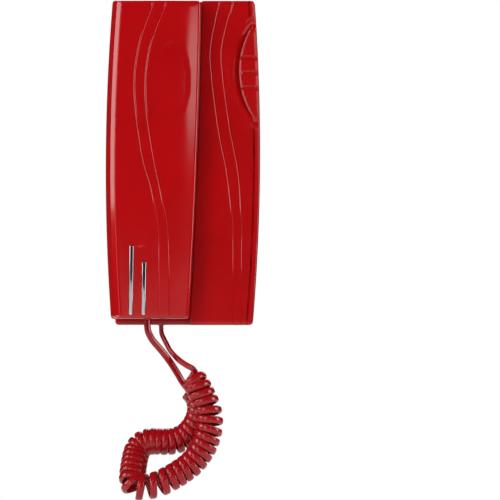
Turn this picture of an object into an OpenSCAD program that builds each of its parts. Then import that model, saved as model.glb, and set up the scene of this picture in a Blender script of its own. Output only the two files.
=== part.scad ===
// Slimline wall phone: a flat base that hangs on the wall, a handset that lies in its cradle with the
// keypad hidden on its inner face, and a curly cord between the two.
// Origin: middle of the base's back face, against the wall. +X is right seen from the front, +Z is up
// and the phone grows away from the wall along -Y, so every "depth" below is a distance from the wall.

/* [Base] */
// Width of the base where its sides bow out furthest
body_w = 94; // [79:0.5:112.5]
// Height of the base
body_h = 200; // [168:1:240]
// Radius of the long bow of the sides
side_r = 1280; // [1070:10:1530]
// Height of the widest place above the middle
belly_z = 8; // [-10:1:20]
// Radius of the corners seen from the front
corner_r = 3; // [2:0.25:5]
// Depth from the wall to the cradle that the handset lies on
cradle_d = 17; // [14.25:0.25:20.25]
// Depth from the wall to the raised deck beside the handset
deck_d = 29; // [24.25:0.25:34.75]
// Wall thickness of the base cover
case_wall = 2.2; // [1.9:0.1:2.6]
// Thickness of the back plate
plate_t = 3; // [2.5:0.25:3.5]
// Height of the strip of base that shows below the handset
lip_h = 4.2; // [3:0.2:6]

/* [Crescent relief] */
// Height of the crescent's middle above the middle of the base
crescent_z = 56.5; // [40:0.5:62]
// Radius of the scooped valley's outer edge
valley_r = 43.3; // [38:0.1:48]
// Radius of the raised island's edge
island_r = 52.6; // [50:0.1:60]
// Distance from the base's side to the valley's outer edge
valley_reach = 20; // [17:0.5:22]
// Distance from the base's side to the island's edge
island_reach = 13.1; // [11:0.1:15]
// Depth of the valley at the island's foot
scoop_depth = 4.5; // [1:0.25:5]
// How far the valley's ramp runs in for each millimetre that it sinks
scoop_run = 1.5; // [1.2:0.1:3]
// Length of the three short grooves on the island
island_groove_l = 9; // [7:0.5:9]
// Width of the three short grooves
island_groove_w = 2.6; // [2:0.1:4]
// Distance between the short grooves
island_groove_pitch = 9.2; // [6:0.2:11]
// Width of the long wave grooves
wave_w = 0.8; // [0.6:0.1:1.2]
// Depth of every decorative groove
groove_depth = 0.6; // [0.4:0.1:0.8]

/* [Handset] */
// Width of the handset at its middle height
handset_w = 56; // [47:0.5:67]
// Thickness of the handset
handset_t = 27.5; // [25:0.5:33]
// Wall thickness of both handset shells
shell_wall = 2; // [1.7:0.1:2.4]
// Depth of the joint line between the shells behind the front face
joint_line = 12; // [10:0.5:14]
// How far the handset stands out past the base's left side
overhang = 0.6; // [0:0.1:2]
// Gap between the handset's right side and the step of the deck
side_gap = 0.7; // [0.5:0.1:1.5]
// Gap between the handset's back and the cradle
seat_gap = 1.5; // [1.3:0.1:2.5]
// Width of the chrome trim bars
trim_w = 2.2; // [1.5:0.1:3]
// Length of the long trim bar
trim_long = 42.6; // [30:0.2:52]
// Length of the short trim bar
trim_short = 32.6; // [20:0.2:40]

/* [Keypad] */
// Height of one key
key_h = 7.8; // [6.5:0.1:9.5]
// Distance between the key rows
key_pitch_z = 13; // [12:0.1:13.5]
// Gap between neighbouring keys across the handset
key_gap = 2.4; // [2:0.1:3]
// Distance from the handset's side to the outer keys' cells
keypad_margin = 8.5; // [8:0.1:10]
// How far the keys stand out of the handset's back
key_proud = 0.9; // [0.5:0.1:1.0]
// Travel of a key
key_travel = 1.2; // [0.8:0.1:1.2]

/* [Works] */
// Radius of the receiver capsule
receiver_r = 15; // [12.5:0.5:16]
// Radius of the ringer's sounder
sounder_r = 13; // [10:0.5:14]
// Travel of the hook plunger
hook_travel = 2.4; // [2:0.1:2.6]
// Travel of the ringer volume slider, from end to end
slider_travel = 4; // [3:0.5:5]
// Distance between the two hanging screws
hanging_pitch = 83; // [70:1:92]
// Radius of the keyholes' round entry
keyhole_r = 4.5; // [3.8:0.1:5.4]
// Width of the keyholes' slot
keyhole_slot = 4.2; // [3.5:0.1:5]
// Width of the opening for the line plug
line_plug_w = 9.9; // [9.7:0.1:11]
// Width of the opening for the cord plugs
cord_plug_w = 7.9; // [7.8:0.1:8.4]

/* [Hidden] */
$fn = 48;
eps = 0.01;
red = [0.66, 0.06, 0.08];
dark_red = [0.5, 0.05, 0.08];
chrome = [0.8, 0.8, 0.82];
black = [0.08, 0.08, 0.09];
board_green = [0.1, 0.35, 0.18];
rubber_grey = [0.3, 0.3, 0.32];
steel = [0.6, 0.6, 0.62];
clear = [0.85, 0.9, 0.92];
key_cream = [0.9, 0.88, 0.83];

// Where the main faces lie
top_z = body_h / 2;
bottom_z = -body_h / 2;
cradle_under = cradle_d - case_wall;
handset_rear = cradle_d + seat_gap;
handset_front = handset_rear + handset_t;
joint_d = handset_front - joint_line;
handset_floor = handset_rear + shell_wall;
handset_top = top_z - 0.5;
handset_bottom = bottom_z + lip_h;
handset_x0 = -body_w / 2 - overhang;
handset_x1 = handset_x0 + handset_w;
handset_mid = handset_x0 + handset_w / 2;
handset_belly_z = -5;

// The handset's right side leans: it is a very long arc that runs down and to the left
lean = 0.0385;
lean_r = 4000;

function bow(z, z0, r) = (z - z0) * (z - z0) / (2 * r);
function base_left(z) = -body_w / 2 + bow(z, belly_z, side_r);
function base_right(z) = body_w / 2 - bow(z, belly_z, side_r);
function handset_left(z) = handset_x0 + bow(z, handset_belly_z, side_r);
function handset_right(z) = handset_x1 + lean * z - bow(z, 0, lean_r);

// Points of an outline with round corners, from its two side curves
function side_heights(lo, hi) = [for (i = [0 : 8]) lo + (hi - lo) * i / 8];
function corner(x, z, r, a) = [for (i = [1 : 4]) [x + r * cos(a + 18 * i), z + r * sin(a + 18 * i)]];
function outline(left, right, lo, hi, r) = concat(
    [for (z = side_heights(lo + r, hi - r)) [right(z), z]],
    corner(right(hi) - r, hi - r, r, 0),
    corner(left(hi) + r, hi - r, r, 90),
    [for (z = side_heights(hi - r, lo + r)) [left(z), z]],
    corner(left(lo) + r, lo + r, r, 180),
    corner(right(lo) - r, lo + r, r, 270));

// A smooth curve through the inner knots of a list
function blend4(a, b, c, d, t) = 0.5 * (2 * b + (c - a) * t + (2 * a - 5 * b + 4 * c - d) * t * t
    + (3 * b - a - 3 * c + d) * t * t * t);
function curve(k) = concat(
    [for (i = [1 : len(k) - 3], j = [0 : 2]) blend4(k[i - 1], k[i], k[i + 1], k[i + 2], j / 3)],
    [k[len(k) - 2]]);
function reversed(p) = [for (i = [len(p) - 1 : -1 : 0]) p[i]];

// A front-view outline as a slab between two depths
module slab(d0, d1) translate([0, -d0, 0]) rotate([90, 0, 0]) linear_extrude(d1 - d0) children();
// A round bar that points away from the wall
module stud(x, z, r, d0, d1) translate([x, -d0, z]) rotate([90, 0, 0]) cylinder(r = r, h = d1 - d0);
// A box from its range in width, depth and height
module block(x, d, z) translate([x[0], -d[1], z[0]]) cube([x[1] - x[0], d[1] - d[0], z[1] - z[0]]);
// The same with its middle and size in width and height
module plate(x, z, w, h, d0, d1) block([x - w / 2, x + w / 2], [d0, d1], [z - h / 2, z + h / 2]);
// A flat bar with round ends that stands upright
module round_bar(x, z, w, h, d0, d1) {
    plate(x, z, w, h - w, d0, d1);
    stud(x, z - (h - w) / 2, w / 2, d0, d1);
    stud(x, z + (h - w) / 2, w / 2, d0, d1);
}

// Base layers: depth, and how far the outline has drawn in there
base_draft = 0.5;
base_layers = [[0.4, 0], [deck_d - 3, base_draft], [deck_d - 1, 1.3], [deck_d, 3]];
module base_outline(inset) polygon(outline(
    function (z) base_left(z) + inset, function (z) base_right(z) - inset,
    bottom_z + inset, top_z - inset, corner_r));
module base_body(wall, back) hull() for (l = base_layers)
    slab(l[0] < 1 ? back : l[0] - wall - eps, l[0] < 1 ? back + eps : l[0] - wall) base_outline(l[1] + wall);
// The part of the front that belongs to the cradle, left of the deck's step
module cradle_side(extra, d0, d1) {
    z = side_heights(bottom_z - 1, top_z + 1);
    slab(d0, d1) polygon(concat([[-body_w, bottom_z - 1]],
        [for (h = z) [handset_right(h) + side_gap + extra, h]], [[-body_w, top_z + 1]]));
}

// Handset layers: depth, and how far left, right and ends have drawn in
outer_layers = [[joint_d, 0, 0, 0], [handset_front - 5, 2.9, 0.4, 0.4],
    [handset_front - 1.8, 4.3, 1.5, 1.2], [handset_front, 8, 7, 2]];
handset_draft = 0.8;
inner_layers = [[handset_rear, 3, 3, 3], [handset_rear + 2, 1, 1, handset_draft], [joint_d, 0, 0, 0]];
module handset_outline(l, r, e) polygon(outline(
    function (z) handset_left(z) + l, function (z) handset_right(z) - r,
    handset_bottom + e, handset_top - e, corner_r));
module handset_layer(layer, wall, d) slab(d, d + eps)
    handset_outline(layer[1] + wall, layer[2] + wall, layer[3] + wall);

// Wave grooves, as knots: distance from the side, height. The first and last only steer the ends.
base_waves = [
    [[22, top_z + 15], [24.5, top_z], [30, 72], [29.8, 56], [25.8, 22.5], [20.4, -6], [17.5, -33], [17, -55],
        [17, bottom_z + 1], [17, bottom_z - 20]],
    [[11, top_z + 15], [15.9, top_z], [22.9, 74], [23.2, 57], [18.7, 22.5], [13.4, -6], [11.8, -32], [11.7, -55],
        [11.7, bottom_z + 1], [11.7, bottom_z - 20]]];
handset_waves = [
    [[36, top_z + 15], [30.3, top_z], [21.2, 74], [17.8, 45], [22.4, 6], [28.2, -16], [31.8, -40], [32.5, -60],
        [32.6, handset_bottom + 4], [32.6, handset_bottom - 10]],
    [[45, top_z + 15], [38.3, top_z], [27.6, 72], [24.5, 42], [29, 6], [33.5, -16], [37.6, -41], [38.7, -66],
        [39, handset_bottom + 12], [39, handset_bottom - 5]]];
module wave(knots, x0, side, d) {
    line = [for (p = curve(knots)) [x0 + side * p[0], p[1]]];
    slab(d - groove_depth, d + 1) polygon(concat(
        [for (p = line) p - [wave_w / 2, 0]], reversed([for (p = line) p + [wave_w / 2, 0]])));
}

// Places of the works
post_x = body_w / 2 - 11;
post_z = body_h / 2 - 18;
posts = [for (sx = [-1, 1], sz = [-1, 1]) [sx * post_x, sz * post_z]];
post_r = 3.5;
screw_r = 1.2;
pilot_r = 1.25;
sounder_x = -16;
sounder_z = body_h / 2 - 40;
sounder_t = 5.5;
board_t = 1.6;
board_x = [-body_w / 2 + 6, -body_w / 2 + 32];
board_z = [-58, 12];
board_d = plate_t + 1;
board_top = board_d + board_t;
hook_x = -body_w / 2 + 19;
hook_z = -50;
hook_w = 7;
hook_h = 5;
hook_flange = 1;
hook_flange_d = cradle_under - hook_travel - 0.4 - hook_flange;
hook_switch_h = 1.4;
spring_wire = 0.25;
spring_r = 2.2;
base_seat_z = bottom_z + case_wall + base_draft;
jack_w = 11;
jack_t = 8.8;
jack_l = 14;
plug_opening_t = 6.9;
plug_l = 11.8;
base_jack_x = -14.1;
base_jack_d = plate_t + jack_t / 2;
base_jack_z = base_seat_z;
handset_jack_x = -22.2;
handset_jack_d = joint_d - 0.1 - jack_t / 2;
handset_jack_z = handset_bottom + shell_wall + handset_draft;
line_jack_x = body_w / 2 - 27;
line_jack_w = 13.2;
line_jack_t = 11;
line_jack_l = 15.5;
line_jack_d = plate_t + line_jack_t / 2;
line_plug_t = 6.9;
slider_x = base_right(bottom_z) - 9.44;
slider_d = 9;
slider_w = 4;
slider_h = 2.6;
tab_z = handset_top - 13;
tab_w = 10;
tab_t = 4;
tab_out = 5;
receiver_z = handset_top - 38;
microphone_z = handset_bottom + 26;
gasket_t = 1;
handset_posts = [handset_top - 61.5, handset_bottom + 39.8];
keypad_z = -2;
key_pitch_x = (handset_w - 2 * keypad_margin) / 3;
key_w = key_pitch_x - key_gap;
key_flange = 0.7;
key_flange_t = 0.8;
key_stem = 0.7;
key_play = 0.25;
dome_top = handset_floor + key_flange_t + key_stem + key_travel + 0.1;
membrane_d = dome_top + 0.8;
membrane_t = 0.9;
handset_board_d = membrane_d + membrane_t;
keypad_w = 3 * key_pitch_x + 1;
keypad_h = 5 * key_pitch_z + 1;
ballast_w = handset_w - 26;
trim_x = [handset_x0 + 15.55, handset_x0 + 23.3];
trim_foot = handset_bottom + 2.8;
trim_lean = 0.8;
trim_slot = 1;
trim_proud = 0.3;

// Base ------------------------------------------------------------------------------------------

module base_cover() color(red) difference() {
    union() {
        difference() {
            base_body(0, 0.4);
            cradle_side(0, cradle_d, deck_d + 1);
            base_cavity();
        }
        for (p = posts) stud(p[0], p[1], post_r, plate_t, (p[0] < 0 ? cradle_under : deck_d - case_wall) + 0.1);
        hang_tab();
        difference() {
            stud(sounder_x, sounder_z, sounder_r + 1.8, cradle_under - 4, cradle_under);
            stud(sounder_x, sounder_z, sounder_r + 0.3, cradle_under - 5, cradle_under);
        }
    }
    for (p = posts) stud(p[0], p[1], pilot_r, plate_t - 1, plate_t + 9);
    crescent_scoop();
    for (i = [-1 : 1]) island_groove(crescent_z - 1.5 + i * island_groove_pitch);
    for (w = base_waves) wave(w, body_w / 2, -1, deck_d);
    for (i = [-2 : 2]) plate(sounder_x, sounder_z + i * 3.4, 15, 1.4, cradle_under - 1, cradle_d + 1);
    plate(hook_x, hook_z, hook_w + 0.6, hook_h + 0.6, cradle_under - 1, cradle_d + 1);
    bottom_opening(base_jack_x, base_jack_d, cord_plug_w, plug_opening_t);
    bottom_opening(line_jack_x, line_jack_d, line_plug_w, line_plug_t);
    bottom_opening(slider_x, slider_d, slider_w + slider_travel + 0.4, slider_h + 0.4);
}

// Everything inside the cover: full depth behind the deck, shallow behind the cradle
module base_cavity() difference() {
    base_body(case_wall, -1);
    cradle_side(case_wall, cradle_under, deck_d);
    stud(body_w / 2 - valley_reach + valley_r, crescent_z, valley_r + 1, deck_d - case_wall - scoop_depth, deck_d);
}

// Valley between the deck and the island: a ramp that ends at the island's wall
module crescent_scoop() difference() {
    translate([body_w / 2 - valley_reach + valley_r, -deck_d, crescent_z]) rotate([-90, 0, 0]) translate([0, 0, -1])
        cylinder(r1 = valley_r + scoop_run, r2 = valley_r - scoop_run * scoop_depth, h = scoop_depth + 1);
    stud(body_w / 2 - island_reach + island_r, crescent_z, island_r, deck_d - scoop_depth - 1, deck_d + 2);
}

module island_groove(z) {
    x = base_right(z) - 2 - island_groove_l / 2;
    translate([x, 0, z]) rotate([0, 90, 0])
        round_bar(0, 0, island_groove_w, island_groove_l, deck_d - 1, deck_d + 1);
}

module bottom_opening(x, d, w, t) block([x - w / 2, x + w / 2], [d - t / 2, d + t / 2],
    [bottom_z - 1, base_seat_z + 0.1]);

// Tab that the handset hangs on, with a small step up at its end
module hang_tab() {
    plate(handset_mid, tab_z, tab_w, tab_t, cradle_d - 0.5, cradle_d + tab_out);
    block([handset_mid - tab_w / 2, handset_mid + tab_w / 2], [cradle_d + tab_out - 2, cradle_d + tab_out],
        [tab_z, tab_z + tab_t / 2 + 1]);
}

module back_plate() color(dark_red) difference() {
    union() {
        slab(0, plate_t) base_outline(case_wall + 0.3);
        for (x = board_x + [3, -3], z = board_z + [3, -3]) stud(x, z, 2, plate_t - eps, board_d);
    }
    for (p = posts) {
        stud(p[0], p[1], screw_r + 0.3, -1, plate_t + 1);
        stud(p[0], p[1], 2.9, -1, 1.6);
    }
    for (s = [-1, 1]) keyhole(s * hanging_pitch / 2);
}

// Round entry below, slot above
module keyhole(z) {
    stud(0, z, keyhole_r, -1, plate_t + 1);
    plate(0, z + 4, keyhole_slot, 8, -1, plate_t + 1);
    stud(0, z + 8, keyhole_slot / 2, -1, plate_t + 1);
}

module base_screws() color(steel) for (p = posts) {
    stud(p[0], p[1], 2.6, 0.1, 1.6);
    stud(p[0], p[1], screw_r, 1.6 - eps, plate_t + 8);
}

module base_board() color(board_green) block(board_x, [board_d, board_top], board_z);

module ringer_chip() color(black) plate(board_x[0] + 9, -6, 9.8, 6.4, board_top, board_top + 3.3);

module rectifier() color(black) plate(board_x[0] + 19, -18, 6, 5, board_top, board_top + 2.6);

module line_capacitor() color([0.15, 0.2, 0.45]) translate([board_x[1] - 6, -(board_top + 2.5), -46])
    cylinder(r = 2.5, h = 11);

module ringer_sounder() color(black) difference() {
    stud(sounder_x, sounder_z, sounder_r, cradle_under - sounder_t, cradle_under);
    stud(sounder_x, sounder_z, sounder_r - 2, cradle_under - 1, cradle_under + 1);
}

module sounder_magnet() color(steel)
    stud(sounder_x, sounder_z, sounder_r * 0.5, cradle_under - sounder_t - 1.2, cradle_under - sounder_t);

module base_jack() color(black) cord_jack(base_jack_x, base_jack_d, base_jack_z);

module handset_jack() color(black) cord_jack(handset_jack_x, handset_jack_d, handset_jack_z);

// Four-contact jack with its mouth down; z is the mouth's height
module cord_jack(x, d, z) difference() {
    block([x - jack_w / 2, x + jack_w / 2], [d - jack_t / 2, d + jack_t / 2], [z, z + jack_l]);
    block([x - cord_plug_w / 2, x + cord_plug_w / 2], [d - plug_opening_t / 2, d + plug_opening_t / 2],
        [z - 1, z + plug_l + 0.4]);
}

module line_jack() color(black) difference() {
    block([line_jack_x - line_jack_w / 2, line_jack_x + line_jack_w / 2],
        [plate_t, plate_t + line_jack_t], [base_seat_z, base_seat_z + line_jack_l]);
    block([line_jack_x - line_plug_w / 2, line_jack_x + line_plug_w / 2],
        [line_jack_d - line_plug_t / 2, line_jack_d + line_plug_t / 2],
        [bottom_z, base_seat_z + 12.5]);
}

module hook_switch() color(black)
    plate(hook_x, hook_z, 7, 7, board_top, board_top + hook_switch_h);

module hook_plunger() color(key_cream) {
    plate(hook_x, hook_z, hook_w, hook_h, hook_flange_d, handset_rear - 0.3);
    plate(hook_x, hook_z, hook_w + 3, hook_h + 3, hook_flange_d, hook_flange_d + hook_flange);
}

// Small coil spring between the switch and the plunger's flange
module hook_spring() color(steel) {
    d0 = board_top + hook_switch_h + spring_wire + 0.05;
    d1 = hook_flange_d - spring_wire - 0.05;
    turns = max(1, floor((d1 - d0) / (3 * spring_wire)));
    steps = 12 * turns;
    tube([for (i = [0 : steps]) [hook_x + spring_r * cos(30 * i), -(d0 + (d1 - d0) * i / steps),
        hook_z + spring_r * sin(30 * i)]], spring_wire, 6);
}

module slider_switch() color(black) difference() {
    block([slider_x - 5, slider_x + 5], [slider_d - 3, slider_d + 3],
        [base_seat_z, base_seat_z + 6]);
    plate(slider_x, base_seat_z, slider_w + slider_travel + 0.4, 4, slider_d - slider_h / 2 - 0.2,
        slider_d + slider_h / 2 + 0.2);
}

module volume_slider() color(black) block([slider_x - slider_w / 2, slider_x + slider_w / 2],
    [slider_d - slider_h / 2, slider_d + slider_h / 2], [bottom_z + 0.2, base_seat_z + 1.8]);

// Handset ---------------------------------------------------------------------------------------

module handset_outer_shell() color(red) difference() {
    union() {
        difference() {
            hull() for (l = outer_layers) handset_layer(l, 0, l[0] - (l[0] > joint_d ? eps : 0));
            hull() for (l = outer_layers) handset_layer(l, shell_wall, l[0] > joint_d ? l[0] - shell_wall : l[0] - 1);
        }
        for (z = handset_posts) stud(handset_mid, z, 3, joint_d - 4, handset_front - shell_wall + 0.1);
    }
    for (z = handset_posts) stud(handset_mid, z, pilot_r, joint_d - 5, joint_d + 5);
    for (w = handset_waves) wave(w, handset_x0, 1, handset_front);
    trim_bar(0, trim_long, 0.15, handset_front - trim_slot, handset_front + 1);
    trim_bar(1, trim_short, 0.15, handset_front - trim_slot, handset_front + 1);
}

// One upright trim bar, or the slot that it sits in
module trim_bar(i, l, grow, d0, d1) translate([trim_x[i], 0, trim_foot]) rotate([0, trim_lean, 0])
    round_bar(0, l / 2, trim_w + 2 * grow, l + 2 * grow, d0, d1);

module trim_bar_long() color(chrome)
    trim_bar(0, trim_long, 0, handset_front - trim_slot, handset_front + trim_proud);

module trim_bar_short() color(chrome)
    trim_bar(1, trim_short, 0, handset_front - trim_slot, handset_front + trim_proud);

module handset_inner_shell() color(red) difference() {
    union() {
        difference() {
            hull() for (l = inner_layers) handset_layer(l, 0, l[0] - (l[0] == joint_d ? eps : 0));
            hull() for (l = inner_layers) handset_layer(l, shell_wall,
                l[0] == joint_d ? l[0] + 1 : l[0] + shell_wall);
        }
        for (z = handset_posts) stud(handset_mid, z, 3.6, handset_floor - eps, joint_d - 4);
        difference() {
            stud(handset_mid, receiver_z, receiver_r + 2, handset_floor - eps, handset_floor + 6);
            stud(handset_mid, receiver_z, receiver_r + 0.3, handset_floor, handset_floor + 7);
        }
        block([handset_jack_x - 4, handset_jack_x + 4], [handset_floor - eps, handset_jack_d - jack_t / 2],
            [handset_jack_z - 0.5, handset_jack_z + jack_l]);
        for (sx = [-1, 1], z = [keypad_z - 30, keypad_z + 30])
            stud(handset_mid + sx * (keypad_w / 2 + 1.2), z, 1.1, handset_floor - eps, handset_board_d);
    }
    for (z = handset_posts) {
        stud(handset_mid, z, screw_r + 0.2, handset_rear - 1, joint_d);
        stud(handset_mid, z, 2.7, handset_rear - 1, handset_rear + 1.9);
    }
    ear_holes();
    stud(handset_mid, microphone_z, 1, handset_rear - 1, handset_floor + 1);
    for (i = [0 : 14]) plate(key_place(i)[0], key_place(i)[1], key_w + 2 * key_play, key_h + 2 * key_play,
        handset_rear - 1, handset_floor + 0.01);
    plate(handset_mid, tab_z + 0.5, tab_w + 2, tab_t + 3.4, handset_rear - 1, handset_floor + 1);
    block([handset_jack_x - cord_plug_w / 2, handset_jack_x + cord_plug_w / 2],
        [handset_jack_d - plug_opening_t / 2, handset_jack_d + plug_opening_t / 2],
        [handset_bottom - 1, handset_jack_z + 0.1]);
}

module ear_holes() {
    stud(handset_mid, receiver_z, 1, handset_rear - 1, handset_floor + 1);
    for (ring = [1, 2], i = [0 : 6 * ring - 1])
        stud(handset_mid + 4 * ring * cos(60 * i / ring), receiver_z + 4 * ring * sin(60 * i / ring), 1,
            handset_rear - 1, handset_floor + 1);
}

module receiver_gasket() color(rubber_grey) difference() {
    stud(handset_mid, receiver_z, receiver_r, handset_floor, handset_floor + gasket_t);
    stud(handset_mid, receiver_z, receiver_r - 4, handset_floor - 1, handset_floor + gasket_t + 1);
}

module receiver() color(black) {
    stud(handset_mid, receiver_z, receiver_r, handset_floor + gasket_t, handset_floor + gasket_t + 5.5);
    stud(handset_mid, receiver_z, receiver_r * 0.55, handset_floor + gasket_t + 5.4, handset_floor + gasket_t + 8);
}

module microphone_boot() color(rubber_grey) difference() {
    stud(handset_mid, microphone_z, 6.5, handset_floor, handset_floor + 7);
    stud(handset_mid, microphone_z, 4.9, handset_floor + 1, handset_floor + 8);
    stud(handset_mid, microphone_z, 1, handset_floor - 1, handset_floor + 2);
}

module microphone() color(chrome) stud(handset_mid, microphone_z, 4.85, handset_floor + 1, handset_floor + 7);

module keypad_membrane() color(rubber_grey) {
    plate(handset_mid, keypad_z, keypad_w, keypad_h, membrane_d, handset_board_d);
    for (i = [0 : 14]) stud(key_place(i)[0], key_place(i)[1], 2.6, dome_top, membrane_d + eps);
}

module handset_board() color(board_green)
    plate(handset_mid, keypad_z, keypad_w + 4.5, keypad_h, handset_board_d, handset_board_d + board_t);

module dialler_chip() color(black)
    plate(handset_mid, keypad_z + 8, 10, 14, handset_board_d + board_t, handset_board_d + board_t + 3);

module ballast_weight() color(steel)
    plate(handset_mid, keypad_z - 16, ballast_w, 32, handset_front - shell_wall - 5, handset_front - shell_wall - eps);

module handset_screws() color(steel) for (z = handset_posts) {
    stud(handset_mid, z, 2.4, handset_rear + 0.3, handset_rear + 1.9);
    stud(handset_mid, z, screw_r, handset_rear + 1.9 - eps, joint_d + 4);
}

// Keys ------------------------------------------------------------------------------------------

KEYS = ["key_1", "key_2", "key_3", "key_4", "key_5", "key_6", "key_7", "key_8", "key_9",
    "key_star", "key_0", "key_hash", "key_flash", "key_mute", "key_redial"];

// Middle of a key. The keypad is read from behind the handset, so the first column is on the +X side.
function key_place(i) = [handset_mid + (1 - i % 3) * key_pitch_x, keypad_z + (2 - floor(i / 3)) * key_pitch_z];

module key(i) {
    p = key_place(i);
    color(key_cream) {
        plate(p[0], p[1], key_w, key_h, handset_rear - key_proud, handset_floor + eps);
        plate(p[0], p[1], key_w + 2 * key_flange, key_h + 2 * key_flange, handset_floor,
            handset_floor + key_flange_t);
        stud(p[0], p[1], 1.8, handset_floor + key_flange_t - eps, handset_floor + key_flange_t + key_stem);
    }
}

// Cord ------------------------------------------------------------------------------------------

lead_r = 1.5;
coil_r = 8.3;
// Straight lead from the handset's plug to the top of the curly part's rear run
handset_lead = [[-22.2, -29.5, -96.2], [-22.2, -29.5, -100], [-21.5, -29, -104], [-18.8, -26.5, -109],
    [-13.8, -23, -115], [-9.6, -19.5, -120.6], [-6.2, -16, -125.8], [-3.2, -13, -130.8],
    [-1, -11.4, -135], [1.6, -11, -137.6]];
// Straight lead from the base's plug to the top of the curly part's front run
base_lead = [[-14.1, -7.4, -100.2], [-14.1, -7.4, -102.4], [-13.8, -8.2, -105], [-12.4, -10, -108.2],
    [-10.6, -12.3, -111.5], [-8.3, -15.2, -115.6], [-3.7, -19.5, -120.4], [1.4, -22.5, -124],
    [6.5, -25, -126.8], [9.6, -28, -128]];
// Middle line of the curly part: down in front, round at the bottom left, up behind
coil_line = [[3.4, -28, -131], [6.6, -28.4, -133.9], [9.2, -29, -138], [11.5, -29, -142.6],
    [14, -29, -148], [15.7, -29, -155], [15.9, -29, -162], [14, -29, -170], [10.6, -29, -177],
    [5, -29, -184.2], [-1.8, -29, -189.4], [-8.8, -29, -193.6], [-15, -29, -196.6],
    [-21.4, -28.8, -198.2], [-27, -28, -198.8], [-30.6, -26.4, -197.2], [-31.6, -24, -193.6],
    [-31.2, -20.8, -189.2], [-30.6, -17.4, -184.8], [-29.8, -14.2, -180.4], [-28.2, -11.8, -176],
    [-24.6, -11, -172.6], [-19.4, -11, -171.4], [-12.6, -11, -171.6], [-5.2, -11, -171],
    [1.6, -11, -167.8], [6.4, -11, -162.4], [9.4, -11, -156], [10, -11, -149.4], [8.2, -11, -143.4],
    [5.2, -11, -139.6], [1.6, -11, -137.6]];

function unit(v) = v / norm(v);
function at(p, i) = p[max(0, min(len(p) - 1, i))];
function heading(p, i) = unit(at(p, i + 1) - at(p, i - 1));
// Side direction of a ring: the last one's, made square to the new heading
function sides_of(p, i = 0, last = [0.31, 0.9, 0.3]) = let (h = heading(p, i), s = unit(last - (last * h) * h))
    i == len(p) - 1 ? [s] : concat([s], sides_of(p, i + 1, s));

// Closed tube of n sides along a list of points
module tube(p, r, n) {
    u = sides_of(p);
    m = len(p);
    points = [for (i = [0 : m - 1], k = [0 : n - 1]) let (v = cross(heading(p, i), u[i]), a = 360 * k / n)
        p[i] + r * (cos(a) * u[i] + sin(a) * v)];
    walls = [for (i = [0 : m - 2], k = [0 : n - 1]) let (k1 = (k + 1) % n)
        [i * n + k, (i + 1) * n + k, (i + 1) * n + k1, i * n + k1]];
    ends = [[for (k = [0 : n - 1]) k], [for (k = [n - 1 : -1 : 0]) (m - 1) * n + k]];
    polyhedron(points, concat(walls, ends), convexity = 8);
}

module cord_handset_lead() color(dark_red) tube(handset_lead, lead_r, 8);

module cord_base_lead() color(dark_red) tube(base_lead, lead_r, 8);

module cord_coil() color(dark_red) tube(coil_line, coil_r, 12);

// Four-contact plug that points up into its jack; z is the mouth's height, tail the end of its round neck
module cord_plug(x, d, z, tail) {
    block([x - 3.8, x + 3.8], [d - 2.9, d + 2.2], [z + 0.6, z + plug_l]);
    block([x - 1.6, x + 1.6], [d + 2.2 - eps, d + 3.2], [z + 2, z + plug_l - 1]);
    translate([x, -d, tail]) cylinder(r = lead_r + 0.2, h = z + 1 - tail);
}

module handset_plug() color(clear)
    cord_plug(handset_jack_x, handset_jack_d, handset_jack_z, handset_bottom - 0.4);

module base_plug() color(clear) cord_plug(base_jack_x, base_jack_d, base_jack_z, bottom_z - 0.2);

// Nodes -----------------------------------------------------------------------------------------

base_cover();
back_plate();
base_screws();
base_board();
ringer_chip();
rectifier();
line_capacitor();
ringer_sounder();
sounder_magnet();
base_jack();
line_jack();
hook_switch();
hook_plunger();
hook_spring();
slider_switch();
volume_slider();
handset_outer_shell();
trim_bar_long();
trim_bar_short();
handset_inner_shell();
receiver_gasket();
receiver();
microphone_boot();
microphone();
keypad_membrane();
handset_board();
dialler_chip();
ballast_weight();
handset_screws();
handset_jack();
cord_handset_lead();
cord_base_lead();
cord_coil();
handset_plug();
base_plug();
for (i = [0 : len(KEYS) - 1]) key(i);
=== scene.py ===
"""Slimline wall phone: shells, trims, keys, works and curly cord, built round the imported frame.

Sizes are millimetres in the phone's own frame: x to the right, z up, and d, the distance out from the wall,
which is -Y. The cord's points and sizes, the camera and the lights are in metres.
"""

import logging
import math
from dataclasses import dataclass, field
from enum import Enum
from typing import Callable, Sequence

import bmesh
import bpy
import numpy as np
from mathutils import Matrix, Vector


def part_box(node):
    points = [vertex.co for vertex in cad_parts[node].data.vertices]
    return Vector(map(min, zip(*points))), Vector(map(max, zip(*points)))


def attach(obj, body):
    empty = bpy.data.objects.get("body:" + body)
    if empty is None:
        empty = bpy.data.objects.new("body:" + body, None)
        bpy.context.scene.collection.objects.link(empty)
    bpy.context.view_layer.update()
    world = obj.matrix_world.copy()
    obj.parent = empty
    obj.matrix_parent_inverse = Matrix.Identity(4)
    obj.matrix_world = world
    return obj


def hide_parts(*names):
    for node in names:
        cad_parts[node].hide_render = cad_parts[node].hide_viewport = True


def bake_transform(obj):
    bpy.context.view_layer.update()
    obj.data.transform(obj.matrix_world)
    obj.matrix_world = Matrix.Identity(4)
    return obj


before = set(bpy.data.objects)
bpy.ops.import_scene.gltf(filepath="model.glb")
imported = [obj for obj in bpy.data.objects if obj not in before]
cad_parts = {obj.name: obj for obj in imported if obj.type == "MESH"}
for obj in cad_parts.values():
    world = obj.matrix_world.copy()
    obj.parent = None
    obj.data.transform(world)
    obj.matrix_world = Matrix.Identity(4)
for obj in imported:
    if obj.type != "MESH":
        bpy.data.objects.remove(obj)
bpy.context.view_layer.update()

MM = 0.001
HAIR = 0.02     # the gap that keeps neighbouring faces apart
CUT = 1.0       # how far a cutter reaches past what it cuts
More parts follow.
